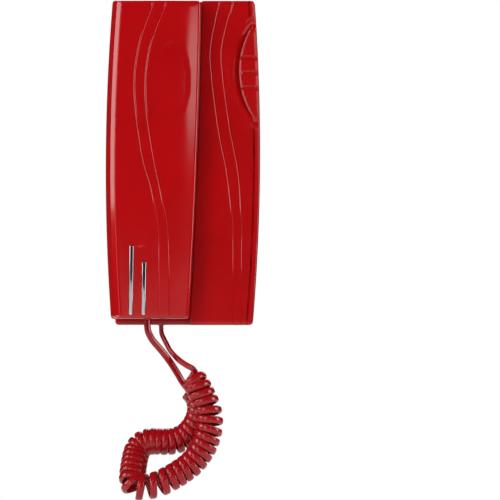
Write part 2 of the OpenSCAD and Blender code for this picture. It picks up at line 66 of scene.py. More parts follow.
WELD = 2e-6     # metres: points closer than this are one
SLIVER = 1e-6   # metres: edges shorter than this go
LOG = logging.getLogger("wall_phone")
Curve = Callable[[np.ndarray], np.ndarray]
Shape = tuple[np.ndarray, list[list[int]]]
Node = bpy.types.Node
Socket = bpy.types.NodeSocket


class Body(Enum):
    """The bodies that pieces ride on."""

    BASE = "base"
    HANDSET = "handset"


class Slot(Enum):
    """The record's material slots."""

    RED = "red_plastic"
    DARK = "dark_plastic"
    CHROME = "chrome_trim"
    KEY = "key_plastic"
    BLACK = "black_plastic"
    SLEEVE = "capacitor_sleeve"
    BOARD = "circuit_board"
    RUBBER = "grey_rubber"
    STEEL = "zinc_steel"
    CLEAR = "clear_plastic"
    CORD = "red_cord"


# Meshes -----------------------------------------------------------------------------------------


def solid(name: str, verts: np.ndarray, faces: Sequence[Sequence[int]],
          crease: float = 35.0) -> bpy.types.Object:
    """Makes a mesh object from points in millimetres, (x, depth, z).

    Args:
        name: The piece's name.
        verts: One row (x, d, z) for each point.
        faces: Point numbers of each face.
        crease: Edges that turn more than this many degrees stay sharp.

    Returns:
        The object, linked to the scene, with its faces turned outwards.
    """
    pts = np.asarray(verts, float) * MM
    pts[:, 1] *= -1
    mesh = bpy.data.meshes.new(name)
    mesh.from_pydata([tuple(p) for p in pts], [], [tuple(int(i) for i in f) for f in faces])
    obj = bpy.data.objects.new(name, mesh)
    bpy.context.scene.collection.objects.link(obj)
    finish_mesh(obj, crease, weld=True)
    return obj


def finish_mesh(obj: bpy.types.Object, crease: float, weld: bool = False) -> None:
    """Turns the faces outwards, shades them smooth and marks the sharp edges.

    Args:
        obj: The mesh object.
        crease: Edges that turn more than this many degrees stay sharp.
        weld: Whether to join points that lie together first.
    """
    bm = bmesh.new()
    bm.from_mesh(obj.data)
    if weld:
        bmesh.ops.remove_doubles(bm, verts=bm.verts, dist=WELD)
        bmesh.ops.dissolve_degenerate(bm, edges=bm.edges, dist=SLIVER)
        bmesh.ops.recalc_face_normals(bm, faces=bm.faces)
        if bm.calc_volume(signed=True) < 0:
            bmesh.ops.reverse_faces(bm, faces=bm.faces)
    limit = math.radians(crease)
    for f in bm.faces:
        f.smooth = True
    for e in bm.edges:
        e.smooth = len(e.link_faces) == 2 and e.calc_face_angle(0.0) < limit
    bm.to_mesh(obj.data)
    bm.free()


def loft(rings: Sequence[np.ndarray], caps: bool = True) -> Shape:
    """Joins rings of points, all of one length, into a tube.

    Args:
        rings: The rings, each an (n, 3) array.
        caps: Whether to close both ends with one face each.

    Returns:
        Points and faces.
    """
    n, m = len(rings[0]), len(rings)
    faces = [[i * n + k, i * n + (k + 1) % n, (i + 1) * n + (k + 1) % n, (i + 1) * n + k]
             for i in range(m - 1) for k in range(n)]
    if caps:
        faces += [list(range(n))[::-1], [(m - 1) * n + k for k in range(n)]]
    return np.vstack(rings), faces


def merged(parts: Sequence[Shape]) -> Shape:
    """Puts several (points, faces) pairs together as one."""
    verts, faces, start = [], [], 0
    for v, f in parts:
        verts.append(v)
        faces += [[i + start for i in face] for face in f]
        start += len(v)
    return np.vstack(verts), faces


def rounded(x: float, z: float, w: float, h: float, r: float, steps: int = 6) -> np.ndarray:
    """Outline of a rectangle with round corners, in x and z."""
    a = np.radians(np.linspace(0, 90, steps + 1))
    corners = []
    for i, (sx, sz) in enumerate([(1, 1), (-1, 1), (-1, -1), (1, -1)]):
        b = a + i * math.pi / 2
        corners.append(np.c_[x + sx * (w / 2 - r) + r * np.cos(b), z + sz * (h / 2 - r) + r * np.sin(b)])
    return np.vstack(corners)


def ring(outline: np.ndarray, d: float | np.ndarray) -> np.ndarray:
    """A front-view outline at a depth."""
    return np.c_[outline[:, 0], np.broadcast_to(d, len(outline)), outline[:, 1]]


def prism(outline: np.ndarray, d0: float, d1: float) -> Shape:
    """A front-view outline as a solid between two depths."""
    return loft([ring(outline, d0), ring(outline, d1)])


def pillow(x: float, z: float, w: float, h: float, r: float,
           layers: Sequence[tuple[float, float]]) -> Shape:
    """A rounded block whose outline draws in layer by layer.

    Args:
        x: Middle, across.
        z: Middle, up.
        w: Width.
        h: Height.
        r: Corner radius at the full outline.
        layers: (depth, inset) of each layer.

    Returns:
        Points and faces.
    """
    return loft([ring(rounded(x, z, w - 2 * i, h - 2 * i, max(r - i, 0.05)), d) for d, i in layers])


def carve(obj: bpy.types.Object, parts: Sequence[Shape], crease: float = 35.0) -> None:
    """Cuts solids out of an object.

    Args:
        obj: The object to cut.
        parts: The solids, which don't overlap each other.
        crease: Edges that turn more than this many degrees stay sharp.
    """
    cutter = solid("cutter", *merged(parts))
    cut = obj.modifiers.new("cut", "BOOLEAN")
    cut.operation, cut.solver, cut.object = "DIFFERENCE", "MANIFOLD", cutter
    bpy.context.view_layer.update()
    made = bpy.data.meshes.new_from_object(obj.evaluated_get(bpy.context.evaluated_depsgraph_get()))
    obj.modifiers.clear()
    obj.data = made
    bpy.data.objects.remove(cutter)
    finish_mesh(obj, crease)


def spline_point(a: np.ndarray, b: np.ndarray, c: np.ndarray, d: np.ndarray, t: float) -> np.ndarray:
    """A point on the smooth line through four points, t of the way from the second to the third."""
    square, cube = 2 * a - 5 * b + 4 * c - d, 3 * b - a - 3 * c + d
    return 0.5 * (2 * b + (c - a) * t + square * t ** 2 + cube * t ** 3)


def smoothstep(lo: float, hi: float, v: np.ndarray) -> np.ndarray:
    """0 below lo, 1 above hi and smooth between."""
    t = np.clip((v - lo) / (hi - lo), 0, 1)
    return t * t * (3 - 2 * t)


def knot_curve(knots: Sequence[tuple[float, float]], x0: float, side: float) -> Curve:
    """A smooth line down the phone through knots.

    Args:
        knots: (distance from the side, height), from above the top to below the bottom.
        x0: Where the side is.
        side: 1 to measure to the right of it, -1 to the left.

    Returns:
        A function from height to x.
    """
    k = np.array(knots)
    line = [spline_point(*four, t) for four in zip(k, k[1:], k[2:], k[3:])
            for t in np.linspace(0, 1, 12, endpoint=False)]
    line.append(k[-2])
    pts = np.array(line)[::-1]
    return lambda z: x0 + side * np.interp(z, pts[:, 1], pts[:, 0])


@dataclass
class Profile:
    """One edge of a moulding, from its face to its rim: insets from the side, and drops behind the face."""

    inset: Sequence[float]
    drop: Sequence[float]


@dataclass
class Moulding:
    """A shell with a shaped face, rounded edges, drafted walls and a hollow back.

    Its face is a grid whose lines follow the relief. Rings run from the face's border over the edges to the
    rim, and then inside to the back of the face.
    """

    columns: list[Curve]
    rows: np.ndarray
    face: Callable[[np.ndarray, np.ndarray], np.ndarray]
    left: Profile
    right: Profile
    end: Profile
    rim: float
    inside: float
    wall: float
    out: int = 1
    corner_steps: int = 6
    corner_power: float = 0.72
    back_reach: float = 0.2

    def build(self, name: str, crease: float = 35.0) -> bpy.types.Object:
        """Makes the shell's mesh.

        Args:
            name: The piece's name.
            crease: Edges that turn more than this many degrees stay sharp.

        Returns:
            The mesh object.
        """
        z = self.rows
        x = np.array([c(z) for c in self.columns]).T
        rows, cols = x.shape
        grid = np.stack([x, self.face(x, np.broadcast_to(z[:, None], x.shape)),
                         np.broadcast_to(z[:, None], x.shape)], axis=-1).reshape(-1, 3)
        corners = [i * cols + j for i in range(rows - 1) for j in range(cols - 1)]
        faces = [[k, k + 1, k + cols + 1, k + cols] for k in corners]

        border, outward = self._border(rows, cols)
        n = len(border)
        base = grid[border]
        verts, last = [grid], np.array(border)
        start = len(grid)
        for ring_pts in self._rings(base, outward):
            now = np.arange(start, start + n)
            faces += [[last[k], last[(k + 1) % n], now[(k + 1) % n], now[k]] for k in range(n)]
            verts.append(ring_pts)
            last, start = now, start + n
        faces.append(list(last))
        clean = [list(dict.fromkeys(int(i) for i in f)) for f in faces]
        return solid(name, np.vstack(verts), [f for f in clean if len(f) > 2], crease)

    def _border(self, rows: int, cols: int) -> tuple[list[int], np.ndarray]:
        """Walks round the face's border, with several outward directions at each corner.

        Args:
            rows: The grid's rows.
            cols: The grid's columns.

        Returns:
            Point numbers, and for each its outward angle in quarter turns from the right side.
        """
        at = np.arange(rows * cols).reshape(rows, cols)
        steps = np.linspace(0, 1, self.corner_steps + 1)
        walk: list[int] = []
        turn: list[float] = []
        sides = [(at[:, -1].tolist(), 0.0), (at[-1, ::-1].tolist(), 1.0), (at[::-1, 0].tolist(), 2.0),
                 (at[0].tolist(), 3.0)]
        for points, quarter in sides:
            walk += points[:-1]
            turn += [quarter] * (len(points) - 1)
            walk += [points[-1]] * (len(steps) - 1)
            turn += list(quarter + steps[:-1])
        return walk, np.array(turn)

    def _rings(self, base: np.ndarray, turn: np.ndarray) -> list[np.ndarray]:
        """The rings from the face's border round to the back of the face.

        Args:
            base: The border's points.
            turn: Each point's outward angle in quarter turns.

        Returns:
            The rings in order.
        """
        angle = turn * math.pi / 2
        c, s = np.cos(angle), np.sin(angle)
        level, rings = base[:, 1], []
        on_right = c > 0
        right, left, end = self.right, self.left, self.end
        for k in range(1, len(right.inset)):
            reach_x = np.where(on_right, right.inset[0] - right.inset[k], left.inset[0] - left.inset[k])
            reach_z = end.inset[0] - end.inset[k]
            drop = np.where(on_right, right.drop[k], left.drop[k]) * c ** 2 + end.drop[k] * s ** 2
            rings.append(self._ring(base, c, s, reach_x, reach_z, level - self.out * drop))
        full_x = np.where(on_right, right.inset[0], left.inset[0])
        rim, inside = np.full(len(c), self.rim), np.full(len(c), self.inside)
        for inset in (0.0, self.wall):
            rings.append(self._ring(base, c, s, full_x - inset, end.inset[0] - inset, rim))
        rings.append(self._ring(base, c, s, self.back_reach, self.back_reach, inside))
        return rings

    def _ring(self, base: np.ndarray, c: np.ndarray, s: np.ndarray, reach_x: np.ndarray | float,
              reach_z: float, depth: np.ndarray) -> np.ndarray:
        """One ring: the border's points moved outwards, at a depth."""
        across, up = (np.where(np.abs(v) < 1e-9, 0, np.sign(v) * np.abs(v) ** self.corner_power)
                      for v in (c, s))
        return np.c_[base[:, 0] + across * reach_x, depth, base[:, 2] + up * reach_z]


def spread(lo: Curve, hi: Curve, shares: Sequence[float]) -> list[Curve]:
    """Lines that lie between two others, at the given shares of the way."""
    return [lambda z, s=s: lo(z) + (hi(z) - lo(z)) * s for s in shares]


def moved(line: Curve, offset: float) -> Curve:
    """A line that runs at a distance to the right of another."""
    return lambda z: line(z) + offset


def beside(line: Curve, offsets: Sequence[float]) -> list[Curve]:
    """Lines that run beside another, at the given distances to its right."""
    return [moved(line, offset) for offset in offsets]


def edge_round(distance: np.ndarray, radius: float) -> np.ndarray:
    """How far a rounded edge lies behind its face, at a distance in from the edge."""
    curve = radius - np.sqrt(np.clip(radius ** 2 - (radius - distance) ** 2, 0, None))
    return np.where(distance < radius, curve, 0)


# Shapes shared by the shells ----------------------------------------------------------------------

GROOVE_LINES = (-0.6, -0.45, -0.3, -0.15, 0.0, 0.15, 0.3, 0.45, 0.6)
STEP_LINES = (-0.6, -0.05, 0.0, 0.02, 0.06, 0.15, 0.3, 0.6)
VALLEY_LINES = (-0.03, 0.0, 0.03, 0.1)
ISLAND_LINES = (-0.12, -0.02, 0.0, 0.06, 0.14, 0.24, 0.6, 1.0, 1.25, 1.35)


@dataclass
class Sides:
    """The phone's outlines, its relief lines and the places that both shells share."""

    side_r: float = 1280.0
    belly_z: float = 8.0
    lean: float = 0.0385
    lean_r: float = 4000.0
    handset_belly_z: float = -5.0
    handset_w: float = 56.0
    side_gap: float = 0.4
    groove_depth: float = 0.36
    groove_half: float = 0.45
    groove_end: float = 0.3
    groove_fade: tuple[float, float] = (-80.0, 0.0)
    half_w: float = field(init=False)
    half_h: float = field(init=False)
    deck_d: float = field(init=False)
    handset_x0: float = field(init=False)
    handset_x1: float = field(init=False)
    handset_lo: float = field(init=False)
    handset_hi: float = field(init=False)
    handset_front: float = field(init=False)
    handset_rear: float = field(init=False)

    def __post_init__(self) -> None:
        """Reads the main sizes off the frame."""
        lo, hi = (np.array(p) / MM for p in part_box("base_cover"))
        self.half_w, self.half_h, self.deck_d = hi[0], hi[2], -lo[1]
        lo, hi = (np.array(p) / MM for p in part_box("handset_outer_shell"))
        self.handset_x0, self.handset_lo, self.handset_hi, self.handset_front = lo[0], lo[2], hi[2], -lo[1]
        self.handset_x1 = self.handset_x0 + self.handset_w
        self.handset_rear = -np.array(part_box("handset_inner_shell")[1])[1] / MM

    def base_right(self, z: np.ndarray) -> np.ndarray:
        """The base's right side."""
        return self.half_w - (z - self.belly_z) ** 2 / (2 * self.side_r)

    def base_left(self, z: np.ndarray) -> np.ndarray:
        """The base's left side."""
        return -self.base_right(z)

    def handset_left(self, z: np.ndarray) -> np.ndarray:
        """The handset's left side."""
        return self.handset_x0 + (z - self.handset_belly_z) ** 2 / (2 * self.side_r)

    def handset_right(self, z: np.ndarray) -> np.ndarray:
        """The handset's right side, a long arc that leans."""
        return self.handset_x1 + self.lean * z - z ** 2 / (2 * self.lean_r)

    def groove(self, distance: np.ndarray, z: np.ndarray) -> np.ndarray:
        """Depth of a wave groove at a distance from its middle line; it fades towards the bottom."""
        fade = self.groove_end + (1 - self.groove_end) * smoothstep(*self.groove_fade, z)
        return self.groove_depth * fade * np.clip(1 - np.abs(distance) / self.groove_half, 0, 1)


# Materials ----------------------------------------------------------------------------------------


class NodeTree:
    """Short ways to add and join nodes in a material, a world or a node group."""

    def __init__(self, tree: bpy.types.NodeTree) -> None:
        """Keeps the tree and empties it."""
        self.tree = tree
        tree.nodes.clear()

    def add(self, kind: str, values: dict[str | int, object] | None = None, **settings: object) -> Node:
        """Adds a node.

        Args:
            kind: The node's type.
            values: A value, or a socket to link from, for each input by name or number.
            **settings: The node's own settings.

        Returns:
            The node.
        """
        node = self.tree.nodes.new(kind)
        for key, value in settings.items():
            setattr(node, key, value)
        for key, value in (values or {}).items():
            if isinstance(value, bpy.types.NodeSocket):
                self.tree.links.new(value, node.inputs[key])
            else:
                node.inputs[key].default_value = value
        return node

    def math(self, operation: str, a: float | Socket, b: float | Socket = 0.0, clamp: bool = False) -> Socket:
        """Adds a Math node and returns its output."""
        return self.add("ShaderNodeMath", {0: a, 1: b}, operation=operation, use_clamp=clamp).outputs[0]

    def ramp(self, value: Socket, lo: float, hi: float, to_lo: float = 0.0, to_hi: float = 1.0) -> Socket:
        """Maps a range smoothly to another."""
        limits = {"From Min": lo, "From Max": hi, "To Min": to_lo, "To Max": to_hi}
        node = self.add("ShaderNodeMapRange", {"Value": value, **limits}, interpolation_type="SMOOTHSTEP")
        return node.outputs[0]

    def mix(self, share: float | Socket, a: object, b: object) -> Socket:
        """Mixes two colours."""
        node = self.add("ShaderNodeMix", data_type="RGBA")
        for index, value in ((0, share), (6, a), (7, b)):
            if isinstance(value, bpy.types.NodeSocket):
                self.tree.links.new(value, node.inputs[index])
            else:
                node.inputs[index].default_value = value
        return node.outputs[2]

    def noise(self, where: Socket, scale: float | Socket, detail: float = 2.0, rough: float = 0.5) -> Socket:
        """Adds a noise texture and returns its value."""
        return self.add("ShaderNodeTexNoise", {"Vector": where, "Scale": scale, "Detail": detail,
                                               "Roughness": rough}).outputs[0]


class Effects:
    """The surface effects that several finishes share, each a node group that is built once."""

    def __init__(self) -> None:
        """Builds the groups."""
        self.skin = self._skin()
        self.dust = self._dust()
        self.wear = self._wear()

    @staticmethod
    def _group(name: str, takes: Sequence[tuple[str, str, object]], gives: Sequence[tuple[str, str]]
               ) -> tuple[bpy.types.NodeTree, NodeTree, Node, Node]:
        """Starts a node group.

        Args:
            name: The group's name.
            takes: Name, socket type and default of each input.
            gives: Name and socket type of each output.

        Returns:
            The group, its node tree helper, its input node and its output node.
        """
        group = bpy.data.node_groups.new(name, "ShaderNodeTree")
        for label, kind, value in takes:
            socket = group.interface.new_socket(label, in_out="INPUT", socket_type=kind)
            socket.default_value = value
        for label, kind in gives:
            group.interface.new_socket(label, in_out="OUTPUT", socket_type=kind)
        tree = NodeTree(group)
        return group, tree, tree.add("NodeGroupInput"), tree.add("NodeGroupOutput")

    def _skin(self) -> bpy.types.NodeTree:
        """Moulded surface: orange peel, a little flow waviness and uneven polish."""
        group, t, given, out = self._group(
            "moulded_skin",
            [("Peel Scale", "NodeSocketFloat", 900.0), ("Peel", "NodeSocketFloat", 0.2),
             ("Waviness", "NodeSocketFloat", 0.5), ("Polish", "NodeSocketFloat", 0.2),
             ("Unevenness", "NodeSocketFloat", 0.08)],
            [("Height", "NodeSocketFloat"), ("Roughness", "NodeSocketFloat")])
        where = t.add("ShaderNodeTexCoord").outputs["Object"]
        peel = t.math("MULTIPLY", t.noise(where, given.outputs["Peel Scale"], 2.0), given.outputs["Peel"])
        flow = t.math("MULTIPLY", t.noise(where, 26.0, 1.0), given.outputs["Waviness"])
        smear = t.math("SUBTRACT", t.noise(where, 38.0, 2.0, 0.5), 0.5)
        rough = t.math("MULTIPLY_ADD", smear, given.outputs["Unevenness"])
        t.tree.links.new(given.outputs["Polish"], rough.node.inputs[2])
        t.tree.links.new(t.math("ADD", peel, flow), out.inputs["Height"])
        t.tree.links.new(rough, out.inputs["Roughness"])
        return group

    def _dust(self) -> bpy.types.NodeTree:
        """Fine dust that settles on what faces up."""
        group, t, given, out = self._group(
            "settled_dust",
            [("Color", "NodeSocketColor", (0.5, 0.5, 0.5, 1)),
             ("Dust Color", "NodeSocketColor", (0.5, 0.47, 0.43, 1)), ("Amount", "NodeSocketFloat", 0.2),
             ("Roughness", "NodeSocketFloat", 0.3)],
            [("Color", "NodeSocketColor"), ("Roughness", "NodeSocketFloat")])
        where = t.add("ShaderNodeTexCoord").outputs["Object"]
        normal = t.add("ShaderNodeNewGeometry").outputs["Normal"]
        up = t.add("ShaderNodeSeparateXYZ", {0: normal}).outputs[2]
        patches = t.math("MULTIPLY", t.ramp(t.noise(where, 60.0, 3.0), 0.35, 0.85), t.ramp(up, 0.2, 1.0))
        specks = t.ramp(t.noise(where, 1500.0, 1.0), 0.72, 0.8)
        amount = t.math("MULTIPLY", t.math("ADD", patches, t.math("MULTIPLY", specks, 0.25)),
                        given.outputs["Amount"], clamp=True)
        colour = t.mix(amount, given.outputs["Color"], given.outputs["Dust Color"])
        t.tree.links.new(colour, out.inputs["Color"])
        t.tree.links.new(t.math("MULTIPLY_ADD", amount, 0.4), out.inputs["Roughness"])
        rough = out.inputs["Roughness"].links[0].from_node
        t.tree.links.new(given.outputs["Roughness"], rough.inputs[2])
        return group

    def _wear(self) -> bpy.types.NodeTree:
        """Edges that handling has rubbed lighter."""
        group, t, given, out = self._group(
            "edge_wear",
            [("Color", "NodeSocketColor", (0.5, 0.5, 0.5, 1)),
             ("Worn Color", "NodeSocketColor", (0.6, 0.6, 0.6, 1)), ("Amount", "NodeSocketFloat", 0.3)],
            [("Color", "NodeSocketColor")])
        where = t.add("ShaderNodeTexCoord").outputs["Object"]
        edge = t.ramp(t.add("ShaderNodeNewGeometry").outputs["Pointiness"], 0.53, 0.62)
        broken = t.ramp(t.noise(where, 300.0, 3.0), 0.35, 0.65)
        mask = t.math("MULTIPLY", t.math("MULTIPLY", edge, broken), given.outputs["Amount"])
        colour = t.mix(mask, given.outputs["Color"], given.outputs["Worn Color"])
        t.tree.links.new(colour, out.inputs["Color"])
        return group


@dataclass(frozen=True)
class Finish:
    """A moulded, rubber or metal finish, in scene-linear colours."""

    name: str
    color: tuple[float, float, float]
    shade: tuple[float, float, float]
    polish: float = 0.3
    unevenness: float = 0.08
    metallic: float = 0.0
    peel_scale: float = 900.0
    peel: float = 0.3
    waviness: float = 0.3
    bump: float = 0.08
    bump_reach: float = 0.0004
    dust: float = 0.15
    worn: tuple[float, float, float] = (0.6, 0.6, 0.6)
    wear: float = 0.15
    transmission: float = 0.0
    ior: float = 1.5
    mottle_scale: float = 30.0

    def material(self, effects: Effects) -> bpy.types.Material:
        """Builds the material.

        Args:
            effects: The shared node groups.

        Returns:
            The material.
        """
        made = bpy.data.materials.new(self.name)
        made.use_nodes = True
        t = NodeTree(made.node_tree)
        where = t.add("ShaderNodeTexCoord").outputs["Object"]
        mottle = t.ramp(t.noise(where, self.mottle_scale, 4.0, 0.6), 0.35, 0.7)
        colour = t.mix(mottle, (*self.color, 1), (*self.shade, 1))
        worn = t.add("ShaderNodeGroup", node_tree=effects.wear)
        dusty = t.add("ShaderNodeGroup", node_tree=effects.dust)
        skin = t.add("ShaderNodeGroup", node_tree=effects.skin)
        t.tree.links.new(colour, worn.inputs["Color"])
        worn.inputs["Worn Color"].default_value = (*self.worn, 1)
        worn.inputs["Amount"].default_value = self.wear
        for label, value in (("Peel Scale", self.peel_scale), ("Peel", self.peel),
                             ("Waviness", self.waviness), ("Polish", self.polish),
                             ("Unevenness", self.unevenness)):
            skin.inputs[label].default_value = value
        t.tree.links.new(worn.outputs["Color"], dusty.inputs["Color"])
        t.tree.links.new(skin.outputs["Roughness"], dusty.inputs["Roughness"])
        dusty.inputs["Amount"].default_value = self.dust
        bump = t.add("ShaderNodeBump", {"Height": skin.outputs["Height"], "Strength": self.bump,
                                        "Distance": self.bump_reach})
        shader = t.add("ShaderNodeBsdfPrincipled", {
            "Base Color": dusty.outputs["Color"], "Roughness": dusty.outputs["Roughness"],
            "Metallic": self.metallic, "Normal": bump.outputs[0],
            "Transmission Weight": self.transmission, "IOR": self.ior})
        t.add("ShaderNodeOutputMaterial", {"Surface": shader.outputs[0]})
        return made


FINISHES: dict[Slot, Finish] = {
    Slot.RED: Finish(
        "glossy_red", (0.4, 0.0023, 0.0036), (0.36, 0.002, 0.0032), polish=0.09, unevenness=0.05,
        peel_scale=420.0, peel=0.35, waviness=0.5, bump=0.05, dust=0.03, worn=(0.7, 0.08, 0.08), wear=0.25),
    Slot.DARK: Finish(
        "matt_red", (0.3, 0.004, 0.007), (0.28, 0.004, 0.006), polish=0.45, unevenness=0.04,
        peel_scale=1600.0, peel=0.6, waviness=0.1, bump=0.1, dust=0.08, wear=0.0),
    Slot.CHROME: Finish(
        "chrome", (0.9, 0.9, 0.92), (0.86, 0.86, 0.89), polish=0.06, unevenness=0.05, metallic=1.0,
        peel=0.1, bump=0.03, dust=0.04, worn=(0.8, 0.8, 0.8), wear=0.1),
    Slot.KEY: Finish(
        "key_cream", (0.78, 0.75, 0.68), (0.74, 0.7, 0.62), polish=0.34, dust=0.1, peel=0.5, bump=0.12),
    Slot.BLACK: Finish(
        "black_nylon", (0.018, 0.018, 0.02), (0.026, 0.026, 0.028), polish=0.42, peel=0.8, bump=0.2,
        worn=(0.12, 0.12, 0.12)),
    Slot.SLEEVE: Finish("capacitor_sleeve", (0.02, 0.03, 0.16), (0.015, 0.025, 0.12), polish=0.3),
    Slot.BOARD: Finish(
        "circuit_board", (0.02, 0.15, 0.05), (0.012, 0.1, 0.035), polish=0.35, mottle_scale=220.0,
        peel_scale=1800.0, bump=0.25),
    Slot.RUBBER: Finish(
        "grey_rubber", (0.075, 0.075, 0.085), (0.1, 0.1, 0.11), polish=0.75, peel=1.0, bump=0.3,
        peel_scale=1500.0),
    Slot.STEEL: Finish(
        "zinc_steel", (0.62, 0.62, 0.64), (0.5, 0.51, 0.54), polish=0.32, metallic=1.0, peel=0.8,
        bump=0.12, mottle_scale=160.0),
    Slot.CLEAR: Finish(
        "clear_polycarbonate", (0.95, 0.96, 0.97), (0.92, 0.93, 0.95), polish=0.08, dust=0.02, wear=0.0,
        transmission=1.0, ior=1.58),
    Slot.CORD: Finish(
        "red_vinyl", (0.33, 0.0016, 0.005), (0.28, 0.0015, 0.004), polish=0.18, unevenness=0.06,
        peel_scale=1200.0, peel=0.5, bump=0.12, dust=0.0, worn=(0.5, 0.03, 0.04), wear=0.1),
}


class Paintbox:
    """Gives each piece its finish, its slot and the body that it rides on."""

    def __init__(self) -> None:
        """Builds every material once."""
        effects = Effects()
        self.materials = {slot: finish.material(effects) for slot, finish in FINISHES.items()}

    def dress(self, piece: bpy.types.Object, slot: Slot, body: Body | str | None,
              replaces: Sequence[str] = ()) -> bpy.types.Object:
        """Finishes a new piece.

        Args:
            piece: The piece.
            slot: The material slot it takes its finish from.
            body: The body that it rides on, or None for a piece, such as the cord, that runs between two
                bodies and rides on neither.
            replaces: CAD nodes that it stands for.

        Returns:
            The piece.
        """
        piece.data.materials.clear()
        piece.data.materials.append(self.materials[slot])
        if body is not None:
            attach(piece, body.value if isinstance(body, Body) else body)
        if replaces:
            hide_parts(*replaces)
        LOG.info("%s: %d faces, %s", piece.name, len(piece.data.polygons), slot.value)
        return piece

    def dress_node(self, name: str, slot: Slot) -> None:
        """Gives a CAD node its finish."""
        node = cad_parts[name]
        if not node.material_slots:
            node.data.materials.append(self.materials[slot])
        for place in node.material_slots:
            place.material = self.materials[slot]


# Base ---------------------------------------------------------------------------------------------


@dataclass
class Base:
    """The wall base: its moulded cover with cradle, deck, waves and crescent, and the tab in the cradle."""

    sides: Sides
    paint: Paintbox
    cradle_d: float = 17.0
    wall: float = 2.2
    edge: float = 3.0
    rim_d: float = 0.4
    crease: float = 32.0
    step_round: float = 0.3
    deck_fall: float = 0.55
    deck_fall_from: float = 12.0
    deck_fall_run: float = 32.0
    crescent_z: float = 56.5
    valley: tuple[float, float] = (70.3, 43.3)
    island: tuple[float, float] = (86.5, 52.6)
    ramp: tuple[tuple[float, float], ...] = ((0, 0), (1, 0.26), (2, 0.66), (3, 1.2), (4, 1.84), (8, 4.44))
    scoop_depth: float = 4.5
    island_edge: tuple[float, float, float] = (1.3, 0.354, 0.24)
    valley_keep: float = 3.2
    island_keep: float = 1.6
    groove_size: tuple[float, float, float] = (9.0, 2.6, 9.2)
    groove_depth: float = 0.75
    groove_margin: float = 2.0
    groove_lower: float = 1.5
    groove_flank: tuple[float, float] = (-0.1, 0.75)
    groove_rows: int = 13
    groove_rows_reach: float = 1.7
    groove_rows_clear: float = 1.8
    waves: tuple = (
        ((22, 115), (24.5, 100), (30, 72), (29.8, 56), (25.8, 22.5), (20.4, -6), (17.5, -33), (17, -55),
         (17, -99), (17, -120)),
        ((11, 115), (15.9, 100), (22.9, 74), (23.2, 57), (18.7, 22.5), (13.4, -6), (11.8, -32), (11.7, -55),
         (11.7, -99), (11.7, -120)))
    row_count: int = 150
    sounder: tuple[float, float] = (-16.0, 60.0)
    sounder_slot: tuple[float, float, float] = (15.0, 1.4, 0.69)
    sounder_pitch: float = 3.4
    hook: tuple[float, float] = (-28.0, -50.0)
    hook_hole: tuple[float, float, float] = (7.6, 5.6, 0.4)
    mouths: tuple = ((-14.1, 7.4, 7.9, 6.9), (20.0, 8.5, 9.9, 6.9), (33.0, 9.0, 8.4, 3.0))
    mouth_reach: float = 5.0
    mouth_corner: float = 0.3
    tab_z: float = 86.5
    tab_size: tuple[float, float, float] = (10.0, 4.0, 5.0)
    tab_corner: float = 0.6
    lip_rise: float = 1.5

    def build(self) -> None:
        """Makes and dresses the base's pieces."""
        self.paint.dress(self._cover(), Slot.RED, Body.BASE, ["base_cover"])
        self.paint.dress(self._tab(), Slot.RED, Body.BASE)

    def _step(self, z: np.ndarray) -> np.ndarray:
        """The line where the cradle steps up to the deck."""
        return self.sides.handset_right(z) + self.sides.side_gap

    def _inner_right(self, z: np.ndarray) -> np.ndarray:
        """The deck's right border, where the edge starts to round."""
        return self.sides.base_right(z) - self.edge

    def _arc(self, circle: tuple[float, float], keep: float) -> Curve:
        """Left side of one of the crescent's circles, held short of the deck's right border."""
        x, r = circle

        def line(z: np.ndarray) -> np.ndarray:
            """The circle's left side at each height."""
            reach = np.sqrt(np.clip(r ** 2 - (z - self.crescent_z) ** 2, 0, None))
            return np.minimum(x - reach, self._inner_right(z) - keep)
        return line

    def _wave_lines(self) -> list[Curve]:
        """The deck's two wave grooves."""
        return [knot_curve(k, self.sides.half_w, -1) for k in self.waves]

    def _columns(self) -> list[Curve]:
        """The face's lines from left to right, along the step, the waves and the crescent."""
        left = moved(self.sides.base_left, self.edge)
        wave_a, wave_b = self._wave_lines()
        valley, foot = self._arc(self.valley, self.valley_keep), self._arc(self.island, self.island_keep)
        return (spread(left, self._step, np.linspace(0, 0.94, 9)) + beside(self._step, STEP_LINES)
                + spread(self._step, wave_a, [0.3, 0.5, 0.7, 0.86]) + beside(wave_a, GROOVE_LINES)
                + spread(wave_a, wave_b, [0.25, 0.5, 0.75]) + beside(wave_b, GROOVE_LINES)
                + spread(wave_b, valley, [0.3, 0.5]) + beside(valley, VALLEY_LINES)
                + spread(valley, foot, [0.3, 0.5, 0.7, 0.85]) + beside(foot, ISLAND_LINES)
                + spread(foot, self._inner_right, np.linspace(0.12, 1, 20)))

    def _face(self, x: np.ndarray, z: np.ndarray) -> np.ndarray:
        """Depth of the base's front.

        Args:
            x: Across.
            z: Up.

        Returns:
            How far out from the wall it is.
        """
        s = self.sides
        past = x - self._step(z)
        fall = self.deck_fall * np.clip((x - self.deck_fall_from) / self.deck_fall_run, 0, 1) ** 2
        deck = s.deck_d - HAIR - fall - np.where(past > 0, edge_round(past, self.step_round), 0)
        for wave in self._wave_lines():
            deck = deck - s.groove(x - wave(z), z)
        in_valley = self.valley[1] - np.hypot(x - self.valley[0], z - self.crescent_z)
        in_island = self.island[1] - np.hypot(x - self.island[0], z - self.crescent_z)
        ramp = np.clip(np.interp(in_valley, *zip(*self.ramp)), 0, self.scoop_depth)
        width, slope, rim = self.island_edge
        crown = np.clip(width - in_island, 0, width) * slope + edge_round(in_island, rim)
        top = deck - np.where(in_valley > 0, crown, 0) - self._island_grooves(x, z)
        front = np.where(in_island > 0, top, deck - ramp)
        return np.where(past < HAIR / 2, self.cradle_d, front)

